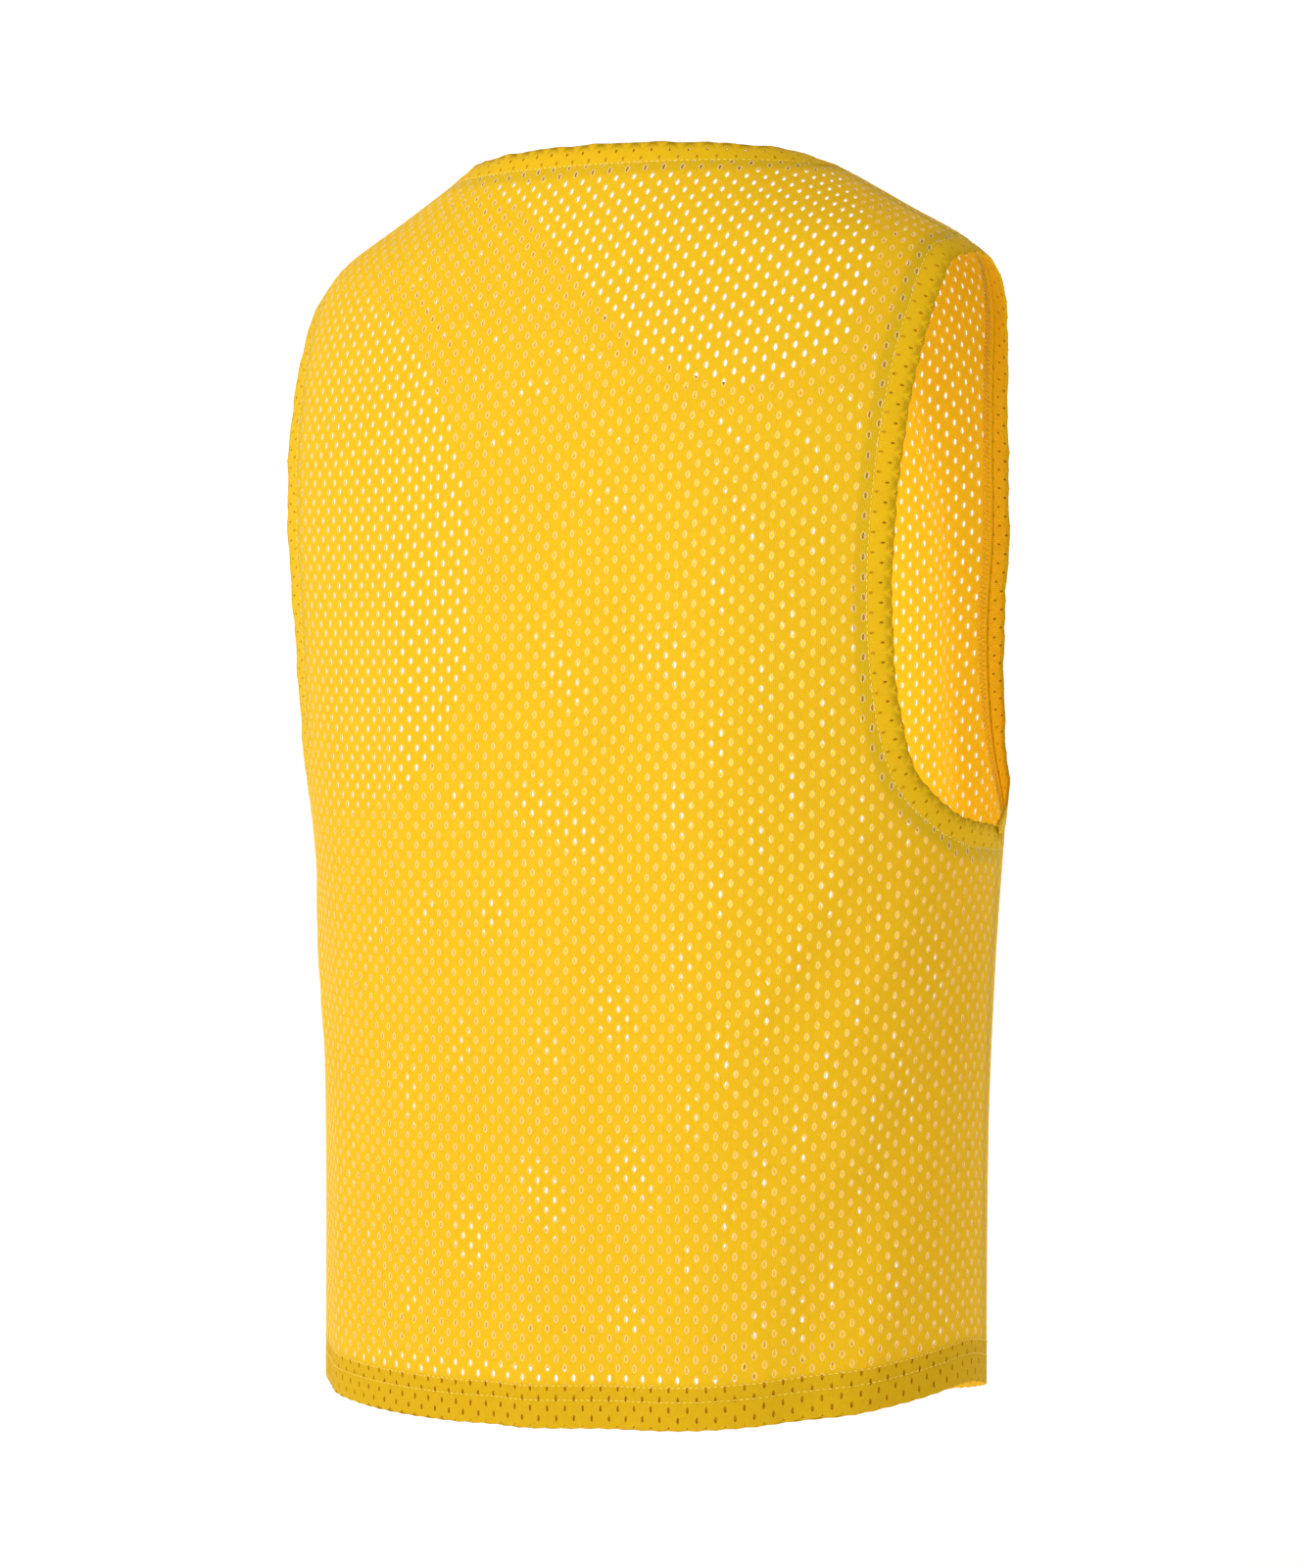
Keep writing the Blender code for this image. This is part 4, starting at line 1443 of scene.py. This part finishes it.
def sew(name, line, closed, seams):
    values = {
        "Stitch pitch": seams.stitch_pitch,
        "Stitch length": seams.stitch_length,
        "Thread thickness": seams.thread_thickness,
        "Finish": finish_named("thread"),
    }
    piece = grown(name, thread_source(name, line, closed), tree_named("stitch"), values)
    finish_piece(piece)


def overlock(name, line, closed, seams, width):
    values = {
        "Stitch pitch": seams.stitch_pitch * 0.8,
        "Stitch width": width,
        "Thread thickness": seams.thread_thickness * 0.9,
        "Finish": finish_named("thread"),
    }
    piece = grown(name, thread_source(name, line, closed), tree_named("overlock"), values)
    finish_piece(piece)


class BIB_OT_stitching(bpy.types.Operator):
    """Sew the seams, the bands and the hem"""

    bl_idname = "bib.stitching"
    bl_label = "Stitching"

    def execute(self, context):
        cloth, seams = context.scene.bib_cloth, context.scene.bib_seams
        outer = cloth.cloth_thickness / 2 + seams.thread_thickness * 0.15
        inner = -ALLOWANCE_DEPTH - cloth.cloth_thickness
        for plan in BANDS:
            line, _ = resampled(seam_stations(plan.kind, plan.side), BAND_STATIONS)
            word = plan.name.replace("band", "seam")
            sew(word + "_stitches", laid_line(line, SEAM_LINE, outer), True, seams)
            inside = laid_line(line, OVERLOCK_LINE, inner)
            overlock(word + "_overlock", inside, True, seams, OVERLOCK_WIDTH)
        for side, word in ((1, "left"), (-1, "right")):
            inside = laid_line(side_line(BACK, side), SIDE_OVERLOCK_LINE, inner)
            overlock("side_overlock_" + word, inside, False, seams, OVERLOCK_WIDTH)
            inside = laid_line(shoulder_line(side), OVERLOCK_LINE, inner)
            overlock("shoulder_overlock_" + word, inside, False, seams, OVERLOCK_WIDTH)
        line, _ = resampled(hem_line(), HEM_STATIONS)
        sew("hem_lower_stitches", laid_line(line, -seams.hem_stitch_height, outer), True, seams)
        sew("hem_upper_stitches", laid_line(line, -seams.hem_width + HEM_EDGE_LINE, outer), True, seams)
        below = -HEM_DEPTH - cloth.cloth_thickness
        inside = laid_line(line, -seams.hem_width + HEM_OVERLOCK_LINE, below)
        overlock("hem_overlock", inside, True, seams, HEM_OVERLOCK_WIDTH)
        return {"FINISHED"}


def plain_object(name, points, faces, material):
    mesh = bpy.data.meshes.new(name)
    mesh.from_pydata(points, [], faces)
    mesh.materials.append(material)
    mesh.shade_smooth()
    made = bpy.data.objects.new(name, mesh)
    bpy.context.scene.collection.objects.link(made)
    return made


Lamp = namedtuple("Lamp", "name place aim width height power")
LAMPS = (
    Lamp("Key softbox", (0.7, 2.3, 1.0), (0.05, 0.0, -0.25), 1.3, 1.3, 39.5),
    Lamp("Fill softbox", (-2.6, 0.9, 0.2), (0.0, 0.0, -0.35), 1.6, 1.8, 2.2),
    Lamp("Inner softbox", (0.02, 0.03, -0.33), (0.08, -0.20, -0.36), 0.20, 0.44, 0.65),
)


class BIB_OT_studio(bpy.types.Operator):
    """Set up the floor, the backdrop, the lamps and the camera"""

    bl_idname = "bib.studio"
    bl_label = "Studio"

    def execute(self, context):
        studio = context.scene.bib_studio
        scene = context.scene
        floor, n, shader = principled("Pale floor", studio.floor_colour, 0.9, 0.0)
        place = n.add("ShaderNodeTexCoord").outputs["Object"]
        dust = n.add("ShaderNodeTexNoise", {"Vector": place, "Scale": 3.0, "Detail": 3.0})
        shader.inputs["Emission Color"].default_value = (1.0, 1.0, 1.0, 1.0)
        shader.inputs["Emission Strength"].default_value = 0.45
        bump = n.add("ShaderNodeBump", {"Strength": 0.02, "Distance": 0.001})
        n.feed(bump.inputs["Height"], dust.outputs["Fac"])
        n.feed(shader.inputs["Normal"], bump)
        profile = [(SWEEP_REACH, 0.0)]
        for i in range(SWEEP_STEPS + 1):
            angle = pi / 2 * i / SWEEP_STEPS
            behind = SWEEP_BEHIND + SWEEP_RADIUS * sin(angle)
            profile.append((-behind, SWEEP_RADIUS * (1 - cos(angle))))
        profile.append((-SWEEP_BEHIND - SWEEP_RADIUS, SWEEP_HEIGHT))
        heading = Vector((cos(studio.camera_turn), sin(studio.camera_turn), 0.0))
        ahead = Vector((-sin(studio.camera_turn), cos(studio.camera_turn), 0.0))
        base = Vector((0.0, 0.0, studio.floor_height))
        points = []
        for distance, height in profile:
            for side in (-1, 1):
                corner = base - ahead * distance + heading * side * SWEEP_REACH
                points.append(corner + Vector((0.0, 0.0, height)))
        faces = [(2 * i, 2 * i + 1, 2 * i + 3, 2 * i + 2) for i in range(len(profile) - 1)]
        plain_object("Studio sweep", points, faces, floor)
        for lamp in LAMPS:
            light = bpy.data.lights.new(lamp.name, "AREA")
            light.shape = "RECTANGLE"
            light.size, light.size_y = lamp.width, lamp.height
            light.energy = lamp.power
            holder = bpy.data.objects.new(lamp.name, light)
            holder.location = lamp.place
            aim = Vector(lamp.aim) - Vector(lamp.place)
            holder.rotation_euler = aim.to_track_quat("-Z", "Y").to_euler()
            holder.visible_camera = False
            scene.collection.objects.link(holder)
        world = bpy.data.worlds.new("Studio room")
        world.use_nodes = True
        sky = world.node_tree.nodes["Background"]
        sky.inputs["Color"].default_value = (1.0, 1.0, 1.0, 1.0)
        sky.inputs["Strength"].default_value = studio.sky_strength
        scene.world = world
        view = bpy.data.cameras.new("Camera")
        view.sensor_fit = "AUTO"
        view.sensor_width = 36.0
        view.lens = studio.camera_lens
        view.shift_x, view.shift_y = studio.camera_shift
        view.clip_start = 0.05
        camera = bpy.data.objects.new("Camera", view)
        camera.location = studio.camera_place
        camera.rotation_euler = (pi / 2, 0.0, studio.camera_turn)
        scene.collection.objects.link(camera)
        scene.camera = camera
        scene.view_settings.view_transform = "Standard"
        return {"FINISHED"}


class BIB_PT_sidebar(bpy.types.Panel):
    """Buttons and sizes of the bib"""

    bl_idname = "BIB_PT_sidebar"
    bl_label = "Mesh Training Bib"
    bl_space_type = "VIEW_3D"
    bl_region_type = "UI"
    bl_category = "Training Bib"

    def draw(self, context):
        layout = self.layout
        for operator in OPERATORS:
            layout.operator(operator.bl_idname)
        for group in ("bib_cloth", "bib_seams", "bib_studio"):
            box = layout.box()
            settings = getattr(context.scene, group)
            for name in type(settings).__annotations__:
                box.prop(settings, name)


OPERATORS = (BIB_OT_panels, BIB_OT_bands, BIB_OT_allowances, BIB_OT_hem, BIB_OT_stitching, BIB_OT_studio)
GROUPS = {"bib_cloth": BibCloth, "bib_seams": BibSeams, "bib_studio": BibStudio}


def register():
    for group in GROUPS.values():
        bpy.utils.register_class(group)
    for name, group in GROUPS.items():
        setattr(bpy.types.Scene, name, bpy.props.PointerProperty(type=group))
    for operator in OPERATORS:
        bpy.utils.register_class(operator)
    bpy.utils.register_class(BIB_PT_sidebar)


def unregister():
    bpy.utils.unregister_class(BIB_PT_sidebar)
    for operator in reversed(OPERATORS):
        bpy.utils.unregister_class(operator)
    for name, group in reversed(GROUPS.items()):
        delattr(bpy.types.Scene, name)
        bpy.utils.unregister_class(group)


def main():
    register()
    bpy.ops.bib.panels()
    bpy.ops.bib.bands()
    bpy.ops.bib.allowances()
    bpy.ops.bib.hem()
    bpy.ops.bib.stitching()
    bpy.ops.bib.studio()


if __name__ == "__main__":
    main()
